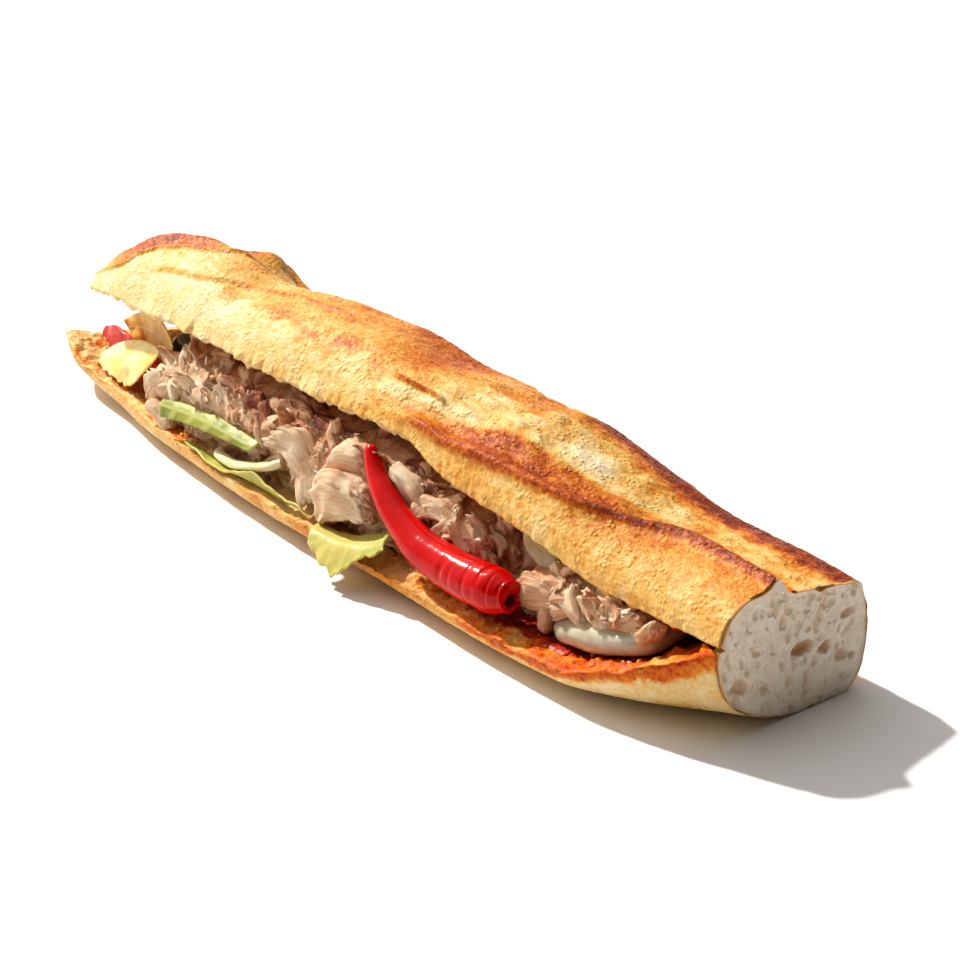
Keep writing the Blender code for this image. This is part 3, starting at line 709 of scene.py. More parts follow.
def crumb_pits(points):
    """Relief of a torn crumb in millimetres: open bubbles of a few sizes."""
    total = 0.35 * noise(points, 5, 21)
    for size, depth, seed in ((5.5, 1.5, 22), (3.0, 0.9, 23), (1.6, 0.45, 24)):
        near, which = cells(points, size, seed)
        total = total - depth * (which > 0.35) * np.clip(1 - (near / 0.5) ** 2, 0, 1) ** 0.5
    return total


def flaky(points):
    """Relief of crumb torn open by a score in the oven, in strands along the loaf."""
    stretched = points * np.array((0.45, 1.0, 1.0))
    strands = 1 - np.abs(fractal(stretched, 4.0, 3, 31))
    return 0.8 * (strands - 0.5) + 0.4 * noise(points, 7, 33)


def upper_toast(x, u, points):
    """How brown the upper crust is, from 0, cream, to 1, dark."""
    end = score_shares(x)[1]
    mottled = fractal(points, 16, 3, 41)
    left = smooth((30 - x) / 110)
    toast = 0.30 - 0.16 * left + 0.30 * smooth((u - 0.06) / 0.42) * (1 - 0.35 * left)
    toast = toast + 0.10 * smooth((u - 0.42) / 0.2) * smooth((x + 150) / 50)
    ridge = along(x, RIDGE_FRONT)
    near_ridge = between(x, -70, 40, 50, 15) * smooth((u - ridge + 0.10) / 0.10)
    toast = toast + 0.03 * near_ridge
    spots = between(x, -105, 40, 20, 30) * bump(u - 0.21, 0.05)
    toast = toast + 0.26 * spots * smooth((fractal(points, 9, 2, 42) + 0.1) / 0.5)
    line = along(x, HEEL_LINE)
    orange = between(x, -155, 20, -60, 20)
    toast = toast + orange * 0.30 * bump(u - line, 0.018)
    toast = toast + orange * smooth((-90 - x) / 18) * 0.46 * smooth((u - line) / 0.04)
    toast = toast - 0.03 * between(x, -108, 18, -62, 14) * smooth((u - line - 0.02) / 0.05)
    faint = between(x, -125, 25, -10, 20)
    toast = toast + 0.22 * faint * bump(u - along(x, HEEL_FAINT) - 0.02, 0.02)
    lip, valley, crest = along(x, SCORE_LIP), along(x, SCORE_VALLEY), along(x, SCORE_CREST)
    open_score = end * smooth((u - lip - 0.03) / 0.04) * smooth((crest - 0.06 - u) / 0.10)
    inside = 0.17 + 0.22 * smooth((x - 60) / 70) + 0.14 * mottled
    inside = inside + 0.30 * smooth((u - valley - 0.08) / 0.20)
    toast = toast * (1 - open_score) + inside * open_score
    edge = smooth((valley - u) / 0.05) * smooth((u - lip + 0.045) / 0.03) * end
    toast = toast + edge * (0.40 - 0.14 * smooth((x - 95) / 60))
    toast = toast + end * 0.26 * smooth((u - crest + 0.12) / 0.08)
    start = between(x, 8, 10, 50, 15) * bump(u - 0.15, 0.05)
    toast = toast - 0.30 * start
    crack = bump(u - 0.2, 0.012) * between(x, 14, 5, 38, 5)
    toast = toast + 0.35 * crack
    toast = toast + 0.08 * mottled
    return np.clip(toast * (1 - 0.5 * smooth((u - 0.85) / 0.15)), 0, 1)


def close_end(ring, *values):
    """Draws the cut face's points back from the cut end and adds a ring inside, for a closed deep end."""
    inner = ring[-1:].copy()
    middle = inner.mean(1, keepdims=True)
    inner = middle + (inner - middle) * 0.93
    inner[..., 0] = FACE_END_X - 1
    return (np.concatenate([ring, inner]), *(np.concatenate([v, v[-1:]]) for v in values))


def joined(crust, face):
    """Points or values on the crust and on the cut face of one half, side by side."""
    return np.concatenate([crust, face], 1)


def half_loaf(tip_x, crust_shares, face_shares, outer_at, inner_at):
    """Rings around one half, with X, share and points on its crust and on its cut face."""
    xs = tip_x + (CUT_X - tip_x) * np.linspace(0, 1, LOAF_ROWS) ** 1.1
    x, u = lattice(xs, crust_shares)
    xi, v = lattice(xs, face_shares)
    outer, inner = np.stack([x, *outer_at(x, u)], -1), np.stack([xi, *inner_at(xi, v)], -1)
    inner[..., 0] = np.minimum(inner[..., 0], FACE_END_X)
    return joined(outer, inner), x, u, outer, xi, v, inner


def add_half(parts, ring, v, toast, face_toast, crumb, sauce, blisters):
    """Adds one half, with how brown, crumbly, stained and blistered its crust and its cut face are."""
    toast = joined(toast, face_toast + 0 * v)
    raised = joined(blisters - 0.3, 0 * v)
    crumb = joined(np.zeros_like(blisters), crumb)
    ring, toast, crumb, sauce, raised = close_end(ring, toast, crumb, sauce, raised)
    add_skin(parts, ring, toast=toast, crumb=crumb, sauce=sauce, raised=raised)


def add_upper_half(parts):
    crust_shares, face_shares = np.linspace(0, 1, UPPER_CRUST), np.linspace(0, 1, UPPER_FACE)[1:-1]
    ring, x, u, outer, xi, v, inner = half_loaf(
        UPPER_TIP_X, crust_shares, face_shares, upper_outer, upper_inner
    )
    lip, crest = along(x, SCORE_LIP), along(x, SCORE_CREST)
    torn = score_shares(x)[1] * smooth((u - lip - 0.02) / 0.05) * smooth((crest - u) / 0.10)
    swells, blisters = crust_bumps(outer)
    strands = flaky(outer)
    relief = swells + blisters * (1 - 0.7 * torn) + strands * torn + fine_score_relief(x, u)
    relief = relief * smooth((x - UPPER_TIP_X) / 8)
    relief = relief * (0.3 + 0.7 * smooth(u / 0.03)) * smooth((1 - u) / 0.06)
    pits = crumb_pits(inner) * smooth((xi - UPPER_TIP_X) / 8) * smooth((CUT_X - 10 - xi) / 10)
    ring = ring + grid_normals(ring, around=True) * joined(relief, pits)[..., None]
    ring_x, lengthwise = ring[..., 0], ring * np.array((1, 0, 0))
    ragged = bump(joined(u, 1 - v), 0.03) * smooth((ring_x + 158) / 20) * smooth((CUT_X - 4 - ring_x) / 8)
    scallops = np.abs(noise(lengthwise, 5.0, 51)) * between(ring_x, -110, 20, 20, 20)
    fringe = 0.4 * noise(lengthwise, 1.8, 52) * smooth((ring_x + 120) / 30)
    ring[..., 1] = ring[..., 1] + ragged * (fringe - 1.7 * scallops + 0.4)
    rim_sauce = smooth((xi - 128) / 20) * smooth((v - 0.90) / 0.06)
    add_half(
        parts, ring, v, upper_toast(x, u, outer) + 0.18 * torn * strands, 0, smooth((1 - v) / 0.03),
        joined(np.zeros_like(u), 0.8 * rim_sauce), 2.2 * blisters,
    )


def lower_stain(x, v, points):
    """How much sauce has soaked into the cut face of the lower half, from 0 to about 1."""
    patchy = fractal(points, 9, 4, 62)
    near_rim = smooth((0.42 - v) / 0.2)
    rim = smooth((x - 50) / 50) * near_rim * (0.36 + 0.9 * v + 0.16 * patchy)
    thin = 0.30 * smooth((x + 30) / 40) * smooth((0.3 - v) / 0.2) * smooth((patchy + 0.3) / 0.5)
    pool = between(x, 62, 20, 152, 8) * between(v, 0.05, 0.08, 0.42, 0.1)
    left = 0.35 * between(x, -172, 10, -60, 20) * smooth((patchy + 0.2) / 0.6)
    deep = 0.6 * smooth((v - 0.3) / 0.1) * smooth((x + 100) / 20)
    return np.maximum.reduce([rim, thin, 0.80 * pool, left, deep])


def add_lower_half(parts):
    ring, x, u, outer, xi, v, inner = half_loaf(
        TIP_X, np.linspace(0, 1, LOWER_CRUST), np.linspace(0, 1, LOWER_FACE), lower_outer, lower_inner
    )
    swells, blisters = crust_bumps(outer, 0.7)
    fade = smooth(u / 0.06) * smooth((outer[..., 2] - 0.3) / 3.0) * smooth((x - TIP_X) / 8)
    pits = crumb_pits(inner) * smooth((1 - v) / 0.05) * smooth(v / 0.05) * smooth((xi - TIP_X) / 8)
    relief = joined((0.6 * swells + blisters) * fade, 0.9 * pits)
    ring = ring + grid_normals(ring, around=True) * relief[..., None]
    near_rim = joined(bump(1 - u, 0.05), bump(v, 0.05)) * smooth((CUT_X - 6 - ring[..., 0]) / 8)
    lengthwise = ring * np.array((1, 0, 0))
    ragged = 0.6 * noise(lengthwise, 6.0, 53) + 0.45 * noise(lengthwise, 2.0, 54)
    ring[..., 2] = np.maximum(0.0, ring[..., 2] + near_rim * ragged)
    toast = 0.30 + 0.16 * smooth((x + 60) / 90) + 0.10 * between(u, 0.1, 0.2, 0.55, 0.25)
    toast = toast - 0.24 * smooth((x - 70) / 60) * smooth((u - 0.4) / 0.2)
    toast = toast + 0.10 * fractal(outer, 14, 3, 61)
    toast = toast + 0.2 * smooth((0.12 - u) / 0.12) + 0.10 * smooth((u - 0.96) / 0.04)
    spilled = smooth((x - 60) / 30) * smooth((u - 0.90 + 0.03 * fractal(outer, 6, 3, 63)) / 0.08)
    add_half(
        parts, ring, v, toast, 0.25, 0.8 * smooth((v - 0.02) / 0.05),
        joined(0.46 * spilled, lower_stain(xi, v, inner)), 2.0 * blisters,
    )


def build_bread(crust):
    parts = Parts()
    add_upper_half(parts)
    add_lower_half(parts)
    return parts.make("bread_crust", crust, "bread")


def end_outline(count):
    """Centre and outline of the loaf's section at the cut end, as (y, z) for each angle."""
    u = np.linspace(0, 1, 400)
    upper = np.concatenate([np.stack(upper_outer(CUT_X, u), -1), np.stack(upper_inner(CUT_X, u), -1)])
    lower = np.concatenate([np.stack(lower_outer(CUT_X, u), -1), np.stack(lower_inner(CUT_X, u), -1)])
    centre = np.array((2.0, 22.0))
    angles = np.linspace(-np.pi, np.pi, count, endpoint=False)
    reach = np.zeros(count)
    for ring in (upper, lower):
        ends = np.roll(ring, -1, 0)
        for i, angle in enumerate(angles):
            ray = np.array((math.cos(angle), math.sin(angle)))
            a, b = ring - centre, ends - centre
            side_a = a[:, 0] * ray[1] - a[:, 1] * ray[0]
            side_b = b[:, 0] * ray[1] - b[:, 1] * ray[0]
            crosses = (side_a * side_b <= 0) & (side_a != side_b)
            if not crosses.any():
                continue
            t = side_a[crosses] / (side_a[crosses] - side_b[crosses])
            hit = a[crosses] + (b[crosses] - a[crosses]) * t[:, None]
            reach[i] = max(reach[i], (hit @ ray).max())
    return centre, angles, reach


# The larger holes of the cut end: (y, z, half width, half height, depth)
HOLES = (
    (4, 19.5, 4, 2.4, 3.2), (13, 17, 1.8, 2.2, 2.2), (-20, 15.5, 3.4, 3, 1.8),
    (22, 25, 2.6, 1.4, 1.6), (-10, 12, 2, 1.4, 1.4), (20, 12, 2.6, 1.8, 1.6),
    (-4, 30, 1.6, 2.6, 1.4), (10, 28, 1.3, 2.2, 1.2), (-14, 24, 1.6, 1.2, 1.2),
    (6, 8, 1, 3.2, 1.4), (-24, 24, 1.2, 1.8, 1), (24, 33, 1.8, 1.2, 1.2),
)


def build_cut_end(crumb):
    centre, angles, reach = end_outline(END_ANGLES)
    s, a = lattice(np.linspace(0, 1, END_RINGS)[1:] ** 0.85, np.arange(END_ANGLES))
    rim = np.stack([0 * angles, 9 * np.cos(angles), 9 * np.sin(angles)], -1)
    radius = s * (reach[a] - 0.15 + 0.7 * fractal(rim, 2.4, 2, 75)[a])
    y = centre[0] + radius * np.cos(angles[a])
    z = np.maximum(0.0, centre[1] + radius * np.sin(angles[a]))
    flat = np.stack([np.zeros_like(y), y, z], -1)
    sunk = 0.25 * noise(flat, 6, 71) + 0.12 * noise(flat, 2, 72) + 0.5
    wobble = flat + 0.5 * np.stack([0 * y, noise(flat, 2.5, 73), noise(flat, 2.5, 74)], -1)

    def away(hole_y, hole_z, wide, high):
        """Each point's squared distance from the middle of a hole, 1 at its rim."""
        return ((wobble[..., 1] - hole_y) / wide) ** 2 + ((wobble[..., 2] - hole_z) / high) ** 2

    for *hole, deep in HOLES:
        sunk = np.maximum(sunk, 0.4 + deep * np.sqrt(np.clip(1.15 - away(*hole), 0, 1)))
    rng = random.Random(SEED)
    for _ in range(SMALL_HOLES):
        angle, far = rng.uniform(-math.pi, math.pi), rng.random() ** 0.5
        k = int((angle + math.pi) / (2 * math.pi) * END_ANGLES) % END_ANGLES
        far = far * (reach[k] - 1.5)
        size = 0.35 + 1.3 * rng.random() ** 3
        wide, high = size * rng.uniform(0.6, 1.1), size * rng.uniform(0.8, 1.7)
        near = away(centre[0] + far * math.cos(angle), centre[1] + far * math.sin(angle), wide, high)
        sunk = np.maximum(sunk, 0.35 + size * 0.8 * np.sqrt(np.clip(1 - near, 0, 1)))
    sunk = sunk * (1 - 0.7 * smooth((s - 0.955) / 0.03)) + 0.5 * smooth((s - 0.985) / 0.015)
    points = np.stack([CUT_X + 0.45 - sunk, y, z], -1)
    skirt = points[-1:].copy()
    skirt[..., 0] = CUT_X - 3.0
    skirt[..., 1:] = centre + (skirt[..., 1:] - centre) * 0.97
    points = np.concatenate([points, skirt])
    rows, columns = points.shape[:2]
    crust_depth = 0.012 + 0.030 * (0.5 + 0.5 * fractal(flat, 7, 3, 76)) * (1.4 - s)
    border = np.concatenate([smooth((s - 1 + 2 * crust_depth) / 0.03), np.ones((1, columns))])
    # How deep each point is sunk, which the crumb material turns into painted shade in the holes
    depth = np.concatenate([sunk, sunk[-1:]])
    ring = np.arange(columns)
    parts = Parts()
    parts.gather(
        np.concatenate([points.reshape(-1, 3), [(CUT_X - 0.3, *centre)]]),
        [
            grid_faces(rows, columns, around=True),
            np.stack([np.full(columns, rows * columns), np.roll(ring, -1), ring], -1),
        ],
        {"depth": np.append(depth, 0.5), "edge": np.append(border, 0.0)},
    )
    return parts.make("cut_end", crumb, None)


# The filling. Each leaf is given by rows of points from its back edge to its front edge
CHILLI_PATH = (
    (22.5, -30.5, 42), (27, -32, 35.8), (34, -34, 30.4), (44, -35.5, 24.8),
    (55.5, -36.2, 20.4), (71.4, -36.6, 18.8), (85, -36.6, 19.2), (93.5, -36.6, 19.6),
)
CHILLI_RADII = (1.9, 3, 3.9, 4.8, 6, 6.7, 6.9, 5.6)
# The rings inside the chilli's open end: share of its width, how far in, and how dark, as painted shade
# deepening into the hollow
CHILLI_MOUTH = (
    (0.90, -0.9, 0), (0.72, -1.2, 0), (0.52, -0.9, 0.1), (0.40, 0.2, 0.6), (0.32, 2, 1), (0.2, 4.6, 1),
)
EGG = {"centre": (124.5, -22, 17.2), "radii": (22, 13.5, 5.2), "turn": (4, -13, 0)}
OLIVE = {"centre": (-107.5, -3, 26.5), "radii": (7.5, 5, 4.8), "turn": (0, 0, 12)}
ONION_RING = (
    (-57.5, -26.6, 13.2), (-56, -29.6, 13), (-46, -31.8, 13.4), (-35, -32.2, 16),
    (-26.5, -31.4, 18.8), (-23, -29.4, 20.6),
)
ONION_PIECE = (
    ((79, -16.5, 33.6), (87, -17, 30.2), (96, -18, 27.6)),
    ((80, -19.4, 30.4), (87, -20.2, 27), (94.5, -21, 24.8)),
    ((82, -21.2, 27.4), (87, -22, 24.6), (93.5, -22.6, 23)),
)
LETTUCE_RIB = (
    ((-89, -27.2, 20.8), (-72, -27.6, 23.4), (-55, -28.2, 24.6), (-33.5, -29.6, 23.8)),
    ((-89, -29.2, 19.4), (-72, -30, 21.4), (-55, -31, 22.4), (-34, -32, 22.4)),
    ((-88, -29.8, 15.4), (-72.5, -31.2, 18.6), (-55.5, -32.2, 20.2), (-36, -32.8, 21)),
)
LETTUCE_FOLD = (
    ((-70, -29, 11.2), (-50, -31.2, 10.8), (-30, -32.6, 11), (-15, -33.2, 11), (-3, -34.6, 11.4)),
    ((-72, -30.6, 11.8), (-49.5, -33.6, 11), (-31, -34.6, 13.6), (-16.5, -34.4, 12.2), (-1, -35.6, 12)),
    (
        (-72.7, -31.6, 12.6), (-47, -35.4, 11.4), (-31, -35.2, 16.6), (-16.5, -35.4, 13.8),
        (1.6, -36.6, 12.6),
    ),
)
LETTUCE_LEAF = (
    ((4, -36.2, 11.6), (12, -35.8, 11.4), (20, -34.5, 12.4), (27, -33.5, 15), (36, -34, 18.2)),
    ((6.5, -40.6, 12), (13.5, -41.4, 12.2), (22, -41.6, 12.8), (31, -40.8, 14.6), (39, -38.4, 18)),
    ((9.7, -45, 9.4), (16, -46.4, 6.6), (24.7, -47.6, 5.4), (33, -44.6, 11.6), (41, -40.4, 17)),
)
HEART_FRONT = (
    ((-146.5, -7.6, 17), (-138, -8, 21.2), (-121, -12, 27.4), (-104.5, -17, 30.6)),
    ((-147.5, -12.4, 15), (-137, -15.6, 16.6), (-123, -19.4, 19), (-108, -19, 25)),
    ((-147, -14.2, 13.2), (-138, -17.4, 12.8), (-126, -20, 12.6), (-114.5, -21.4, 17.4)),
)
HEART_BACK = (
    ((-157.5, 4, 20.6), (-141, 2, 28.6), (-124, -3, 31.4), (-104, -12.6, 30.8)),
    ((-155, 4.4, 18), (-139, 0.6, 22), (-123, -4.6, 24.4), (-107, -11, 26.4)),
    ((-153, 3, 16), (-137, -1, 14), (-122, -6, 14), (-109, -10.6, 18)),
)
TOMATO = (
    ((-163, 1, 17.2), (-154, -0.6, 20.2), (-138, -4.8, 20.6), (-110.5, -14.4, 25.4)),
    ((-163.5, -0.4, 15.6), (-153, -2.6, 15.8), (-137, -6.6, 15), (-111, -15.4, 19)),
    ((-162, -1.4, 14.8), (-151, -4.4, 13.2), (-136, -8.6, 11.4), (-111.5, -16.6, 13)),
)
# The tuna runs from TUNA_START to TUNA_END along X, and back to TUNA_BACK in front of the hinge.
# Its front has a foot on the bread, a belly and a brow: (X, Y of each), and (X, height of the brow)
TUNA_START, TUNA_END, TUNA_BACK = -97, 136, 14
TUNA_FOOT_Y = (
    (-97, -20), (-85, -23), (-60, -23.5), (-30, -24), (0, -28), (25, -28), (45, -27), (68, -26.5),
    (78, -23), (98, -23), (108, -28), (125, -30), (149, -20),
)
TUNA_BELLY_Y = (
    (-97, -22), (-85, -26), (-60, -27), (-30, -28), (0, -31), (25, -30), (45, -29.5), (68, -29),
    (77, -18), (98, -18), (108, -31), (125, -31.5), (149, -22),
)
TUNA_BROW_Y = (
    (-97, -17), (-85, -21), (-60, -24), (-30, -25), (0, -26), (25, -26), (45, -26), (68, -25),
    (77, -13), (98, -13), (108, -27), (125, -27), (149, -18),
)
TUNA_BROW_HEIGHT = (
    (-97, 29), (-88, 33), (-74, 37), (-54, 36), (-33, 37), (-8, 38), (20, 38), (40, 35), (60, 32),
    (80, 29), (98, 28), (115, 27), (130, 27.5), (149, 28),
)
# The large flakes: centre, radii, turn in degrees about X, Y and Z, and how round (1) or square (0)
CHUNKS = (
    ((13, -33, 23.4), (14, 6.4, 8.4), (0, -18, 0), 0.9),
    ((11, -29.5, 34), (8, 4.5, 4.5), (0, -20, 10), 0.9),
    ((-8.5, -30.5, 28.2), (13, 3.2, 6.6), (-25, 42, 0), 0.7),
    ((2.5, -27.5, 34.4), (8, 2.2, 2.6), (0, 62, 0), 0.8),
    ((-97, -20, 20), (10, 4, 8), (0, -25, 14), 0.8),
    ((-93, -26, 14), (7, 3.2, 2.8), (0, 20, 0), 0.8),
    ((100, -28.5, 22), (9.5, 5, 5.6), (0, -8, 0), 0.85),
    ((103.5, -31.6, 15), (2, 2.4, 5), (8, 10, 0), 0.85),
    ((112, -29.5, 23.2), (8, 4, 4.2), (10, -12, 12), 0.85),
    ((123, -28.2, 24.4), (7, 4, 3.2), (-10, -10, -12), 0.85),
    ((134, -28, 24.6), (7, 4.2, 3.2), (8, -14, 14), 0.85),
    ((142, -28, 23.4), (6, 4.2, 3.2), (0, -22, -10), 0.85),
    ((58, -29, 27), (7, 2.4, 3), (0, -50, 10), 0.8),
    ((66, -27.5, 28.5), (8, 2.4, 2.4), (0, 30, -10), 0.8),
    ((38, -28.5, 34), (8, 3.2, 4.2), (10, 25, 0), 0.8),
    ((49, -28.5, 30), (7.5, 3, 3.6), (-20, -15, 10), 0.8),
)


def through(places, at):
    """Points of a smooth curve through places, for each share in at."""
    spaced = np.linspace(0, 1, len(places))
    return np.stack([along(at, tuple(zip(spaced, [p[axis] for p in places]))) for axis in range(3)], -1)


def patch(rows, across, down):
    """A grid of points on the surface through rows of points: [s][t], s along each row."""
    s = np.linspace(0, 1, across)
    lines = np.stack([through(row, s) for row in rows], 0)
    grid = np.zeros((across, down, 3))
    t = np.linspace(0, 1, down)
    spaced = np.linspace(0, 1, len(rows))
    for i in range(across):
        for axis in range(3):
            grid[i, :, axis] = along(t, tuple(zip(spaced, lines[:, i, axis])))
    return grid


def add_sheet(parts, grid, thickness, **values):
    """A thin closed sheet on a grid of points, rounded off at its border."""
    rows, columns = grid.shape[:2]
    size = rows * columns
    s, t = shares(rows, columns)
    rim = np.minimum(np.minimum(s, 1 - s) * rows, np.minimum(t, 1 - t) * columns)
    half = thickness / 2 * np.clip(0.35 + 0.65 * np.sqrt(np.clip(rim / 3, 0, 1)), 0, 1)
    offset = grid_normals(grid) * half[..., None]
    points = np.concatenate([(grid + offset).reshape(-1, 3), (grid - offset).reshape(-1, 3)])
    index = np.arange(size).reshape(rows, columns)
    place = np.concatenate([index[:-1, 0], index[-1, :-1], index[:0:-1, -1], index[0, :0:-1]])
    after = np.roll(place, -1)
    top = grid_faces(rows, columns)
    side = np.stack([place, after, after + size, place + size], -1)
    doubled = {
        name: np.concatenate([value.reshape(size, *value.shape[2:])] * 2) for name, value in values.items()
    }
    parts.gather(points, [top, top[:, ::-1] + size, side], doubled)


def sheet_piece(name, material, node, slot, grid, thickness, **values):
    parts = Parts()
    add_sheet(parts, grid, thickness, **values)
    return parts.make(name, material, node)


def skin_piece(name, material, node, slot, rings, **values):
    parts = Parts()
    add_skin(parts, rings, **values)
    return parts.make(name, material, node)


def turned(turn):
    rotation = Matrix.Identity(3)
    for axis, angle in zip("XYZ", turn):
        rotation = Matrix.Rotation(math.radians(angle), 3, axis) @ rotation
    return np.array(rotation)


def lump(centre, radii, turn, power, rows, columns):
    """Rings of a rounded block, and the same points before it is turned and placed."""
    i = np.linspace(0, 1, rows + 2)[1:-1]
    along_x = -np.cos(np.pi * i)
    across = np.sin(np.pi * i) ** power
    angle = np.linspace(0, 2 * np.pi, columns, endpoint=False)
    local = np.stack([
        np.repeat(radii[0] * signed_power(along_x, power)[:, None], columns, 1),
        radii[1] * across[:, None] * signed_power(np.cos(angle), power)[None],
        radii[2] * across[:, None] * signed_power(np.sin(angle), power)[None],
    ], -1)
    return local @ turned(turn).T + np.array(centre), local


def bar(path, radii, rows, columns):
    """The share along and the angle around a round bar on path, its frame and its radius at each row."""
    s = np.linspace(0, 1, rows)
    centre = through(path, s)
    ahead = np.gradient(centre, axis=0)
    ahead /= np.linalg.norm(ahead, axis=-1, keepdims=True)
    side = np.cross(ahead, (0, 0, 1.0))
    side /= np.linalg.norm(side, axis=-1, keepdims=True)
    radius = along(s, tuple(zip(np.linspace(0, 1, len(radii)), radii)))
    share, angle = lattice(s, np.linspace(0, 2 * np.pi, columns, endpoint=False))
    return share, angle, centre, ahead, side, np.cross(side, ahead), radius[:, None]


def bar_rings(centre, side, over, radius, angle):
    spoke = side[:, None] * np.cos(angle)[..., None] + over[:, None] * np.sin(angle)[..., None]
    return centre[:, None] + radius[..., None] * spoke


def build_chilli(material):
    share, angle, centre, ahead, side, over, radius = bar(CHILLI_PATH, CHILLI_RADII, 260, 64)
    place = np.stack([share * 100, 6 * np.cos(angle), 6 * np.sin(angle)], -1)
    folds = noise(place * np.array((1.0, 0.22, 0.22)), 2.1, 81)
    radius = radius * (1 + 0.05 * noise(place, 11, 82))
    radius = radius - smooth((share - 0.55) / 0.25) * 0.55 * np.clip(folds, 0, 1)
    radius = radius * (1 - 0.12 * smooth((share - 0.90) / 0.10))
    radius = radius * (0.55 + 0.45 * np.sqrt(smooth(share / 0.03)))
    rings = bar_rings(centre, side, over, radius, angle)
    mouth, middle, turn = rings[-1], rings[-1].mean(0) - over[-1] * 1.6, angle[0]
    wavy = 1 + 0.14 * np.cos(2 * turn + 0.6) + 0.08 * np.cos(5 * turn) + 0.05 * np.cos(9 * turn)
    inner = [
        middle + (mouth - middle) * (width * wavy)[:, None] - ahead[-1] * sunk
        for width, sunk, _ in CHILLI_MOUTH
    ]
    # How dark each inner ring is painted, as shade in the hollow
    inside = [np.full(len(turn), float(dark)) for _, _, dark in CHILLI_MOUTH]
    return skin_piece(
        "chilli_pepper", material, "chilli", "chilli_skin", np.concatenate([rings, inner]),
        grain=np.concatenate([place, [place[-1]] * len(inner)]),
        inside=np.concatenate([np.zeros_like(share), inside]),
    )


def build_egg(material):
    rings, local = lump(**EGG, power=0.75, rows=70, columns=90)
    relief = 0.5 * noise(rings, 9, 91) + 0.2 * noise(rings, 4, 92)
    rings = rings + grid_normals(rings, around=True) * relief[..., None]
    tint = smooth((local[..., 2] / EGG["radii"][2] - 0.4) / 0.6)
    return skin_piece("egg_white_slice", material, "egg_slice", "egg_white", rings, tint=tint)


def build_onions(material):
    share, angle, centre, _, side, over, radius = bar(ONION_RING, (1.5, 1.9, 2.0, 2.0, 1.9, 1.5), 90, 30)
    grain = np.stack([share * 45, 2 * np.cos(angle), 2 * np.sin(angle)], -1)
    rings = bar_rings(centre, side, 0.8 * over, radius * (1 + 0.08 * noise(grain, 4, 95)), angle)
    ring = skin_piece("onion_ring_slice", material, "onion_ring", "onion", rings, grain=grain)
    grid = roughened(patch(ONION_PIECE, 50, 34), 0.3, 5, 96)
    s, t = shares(50, 34)
    grain = np.stack([16 * s, 9 * t, 0 * s], -1)
    return ring, sheet_piece("onion_slice_piece", material, "onion_piece", "onion", grid, 1.6, grain=grain)


def veins(s, t, start, count, slant, width):
    """1 on the ribs of a leaf and 0 between them: one along it and count across it."""
    middle = bump(t - start, width * 1.6)
    phase = (s * count + np.abs(t - start) * slant) % 1.0
    side = bump(np.minimum(phase, 1 - phase) / count, width)
    return np.clip(np.maximum(middle, 0.8 * side), 0, 1)


def build_leaf(name, node, slot, material, rows, size, thickness, ripple, rib, shade, mottle, seed, lobes):
    """size: points across and down. rib: see veins. shade: of the shares. mottle: its depth and size."""
    grid = patch(rows, *size)
    s, t = shares(*size)
    ribs = veins(s, t, *rib)
    wave = noise(grid, 7, seed) + 0.5 * noise(grid, 3, seed + 1)
    relief = ripple * wave * (0.35 + 0.65 * smooth((t - 0.4) / 0.6)) + 0.09 * ribs
    grid = grid + grid_normals(grid) * relief[..., None]
    if lobes:
        edge = np.stack([s * 60, 0 * s, 0 * s], -1)
        hang = noise(edge, 6, seed + 2) + 0.5 * noise(edge, 2.5, seed + 3)
        step = np.gradient(grid, axis=1)
        step /= np.maximum(1e-9, np.linalg.norm(step, axis=-1, keepdims=True))
        grid = grid + step * (lobes * hang * smooth((t - 0.6) / 0.4))[..., None]
    depth, broad = mottle
    tone = shade(s, t) + depth * noise(grid, broad, seed)
    return sheet_piece(name, material, node, slot, grid, thickness, shade=tone, vein=ribs)


def egg_top(x, y):
    """The height of the egg slice's upper face at (x, y), or a low value beside it."""
    across, deep = (x - EGG["centre"][0]) / EGG["radii"][0], (y - EGG["centre"][1]) / EGG["radii"][1]
    inside = 1.5 - across**2 - deep**2
    slope = math.tan(math.radians(-EGG["turn"][1]))
    height = EGG["centre"][2] + slope * (x - EGG["centre"][0])
    height = height + EGG["radii"][2] * np.clip(2 * inside, 0, 1) ** 0.3
    return np.where(inside <= 0, -100.0, height)


def tuna_floor(x, y):
    return np.maximum(floor_height(x, y), egg_top(x, y)) + 1.0


def tuna_front(x, share):
    """(y, z) on the front of the tuna, from the bread at share 0 to its top at share 1."""
    low_y, top_y = along(x, TUNA_FOOT_Y), along(x, TUNA_BROW_Y)
    low = tuna_floor(x, low_y)
    top = np.maximum(np.maximum(along(x, TUNA_BROW_HEIGHT), low + 2.5), tuna_floor(x, top_y) + 1.5)
    belly_y = along(x, TUNA_BELLY_Y)
    y = low_y + (belly_y - low_y) * smooth(share / 0.7) + (top_y - belly_y) * smooth((share - 0.7) / 0.3)
    return y, low + (top - low) * share


def tuna_core_rings(count):
    xs = np.linspace(TUNA_START, TUNA_END, count)
    rings = []
    back_y = hinge(xs)[0] - TUNA_BACK
    brow_y, brow_z = tuna_front(xs, np.ones(count))
    for k in range(11, -1, -1):
        y = brow_y + (back_y - brow_y) * k / 11
        rings.append(np.stack([xs, y, tuna_floor(xs, y)], -1))
    for share in np.linspace(0.0, 0.96, 30):
        y, z = tuna_front(xs, np.full(count, share))
        rings.append(np.stack([xs, y, z], -1))
    for k in range(16):
        y = brow_y + (back_y - brow_y) * k / 15
        top = np.minimum(brow_z + 0.3 * (y - brow_y), roof_height(xs, y) - 1.8)
        rings.append(np.stack([xs, y, np.maximum(top, tuna_floor(xs, y) + 1.5)], -1))
    return np.stack(rings, 1)


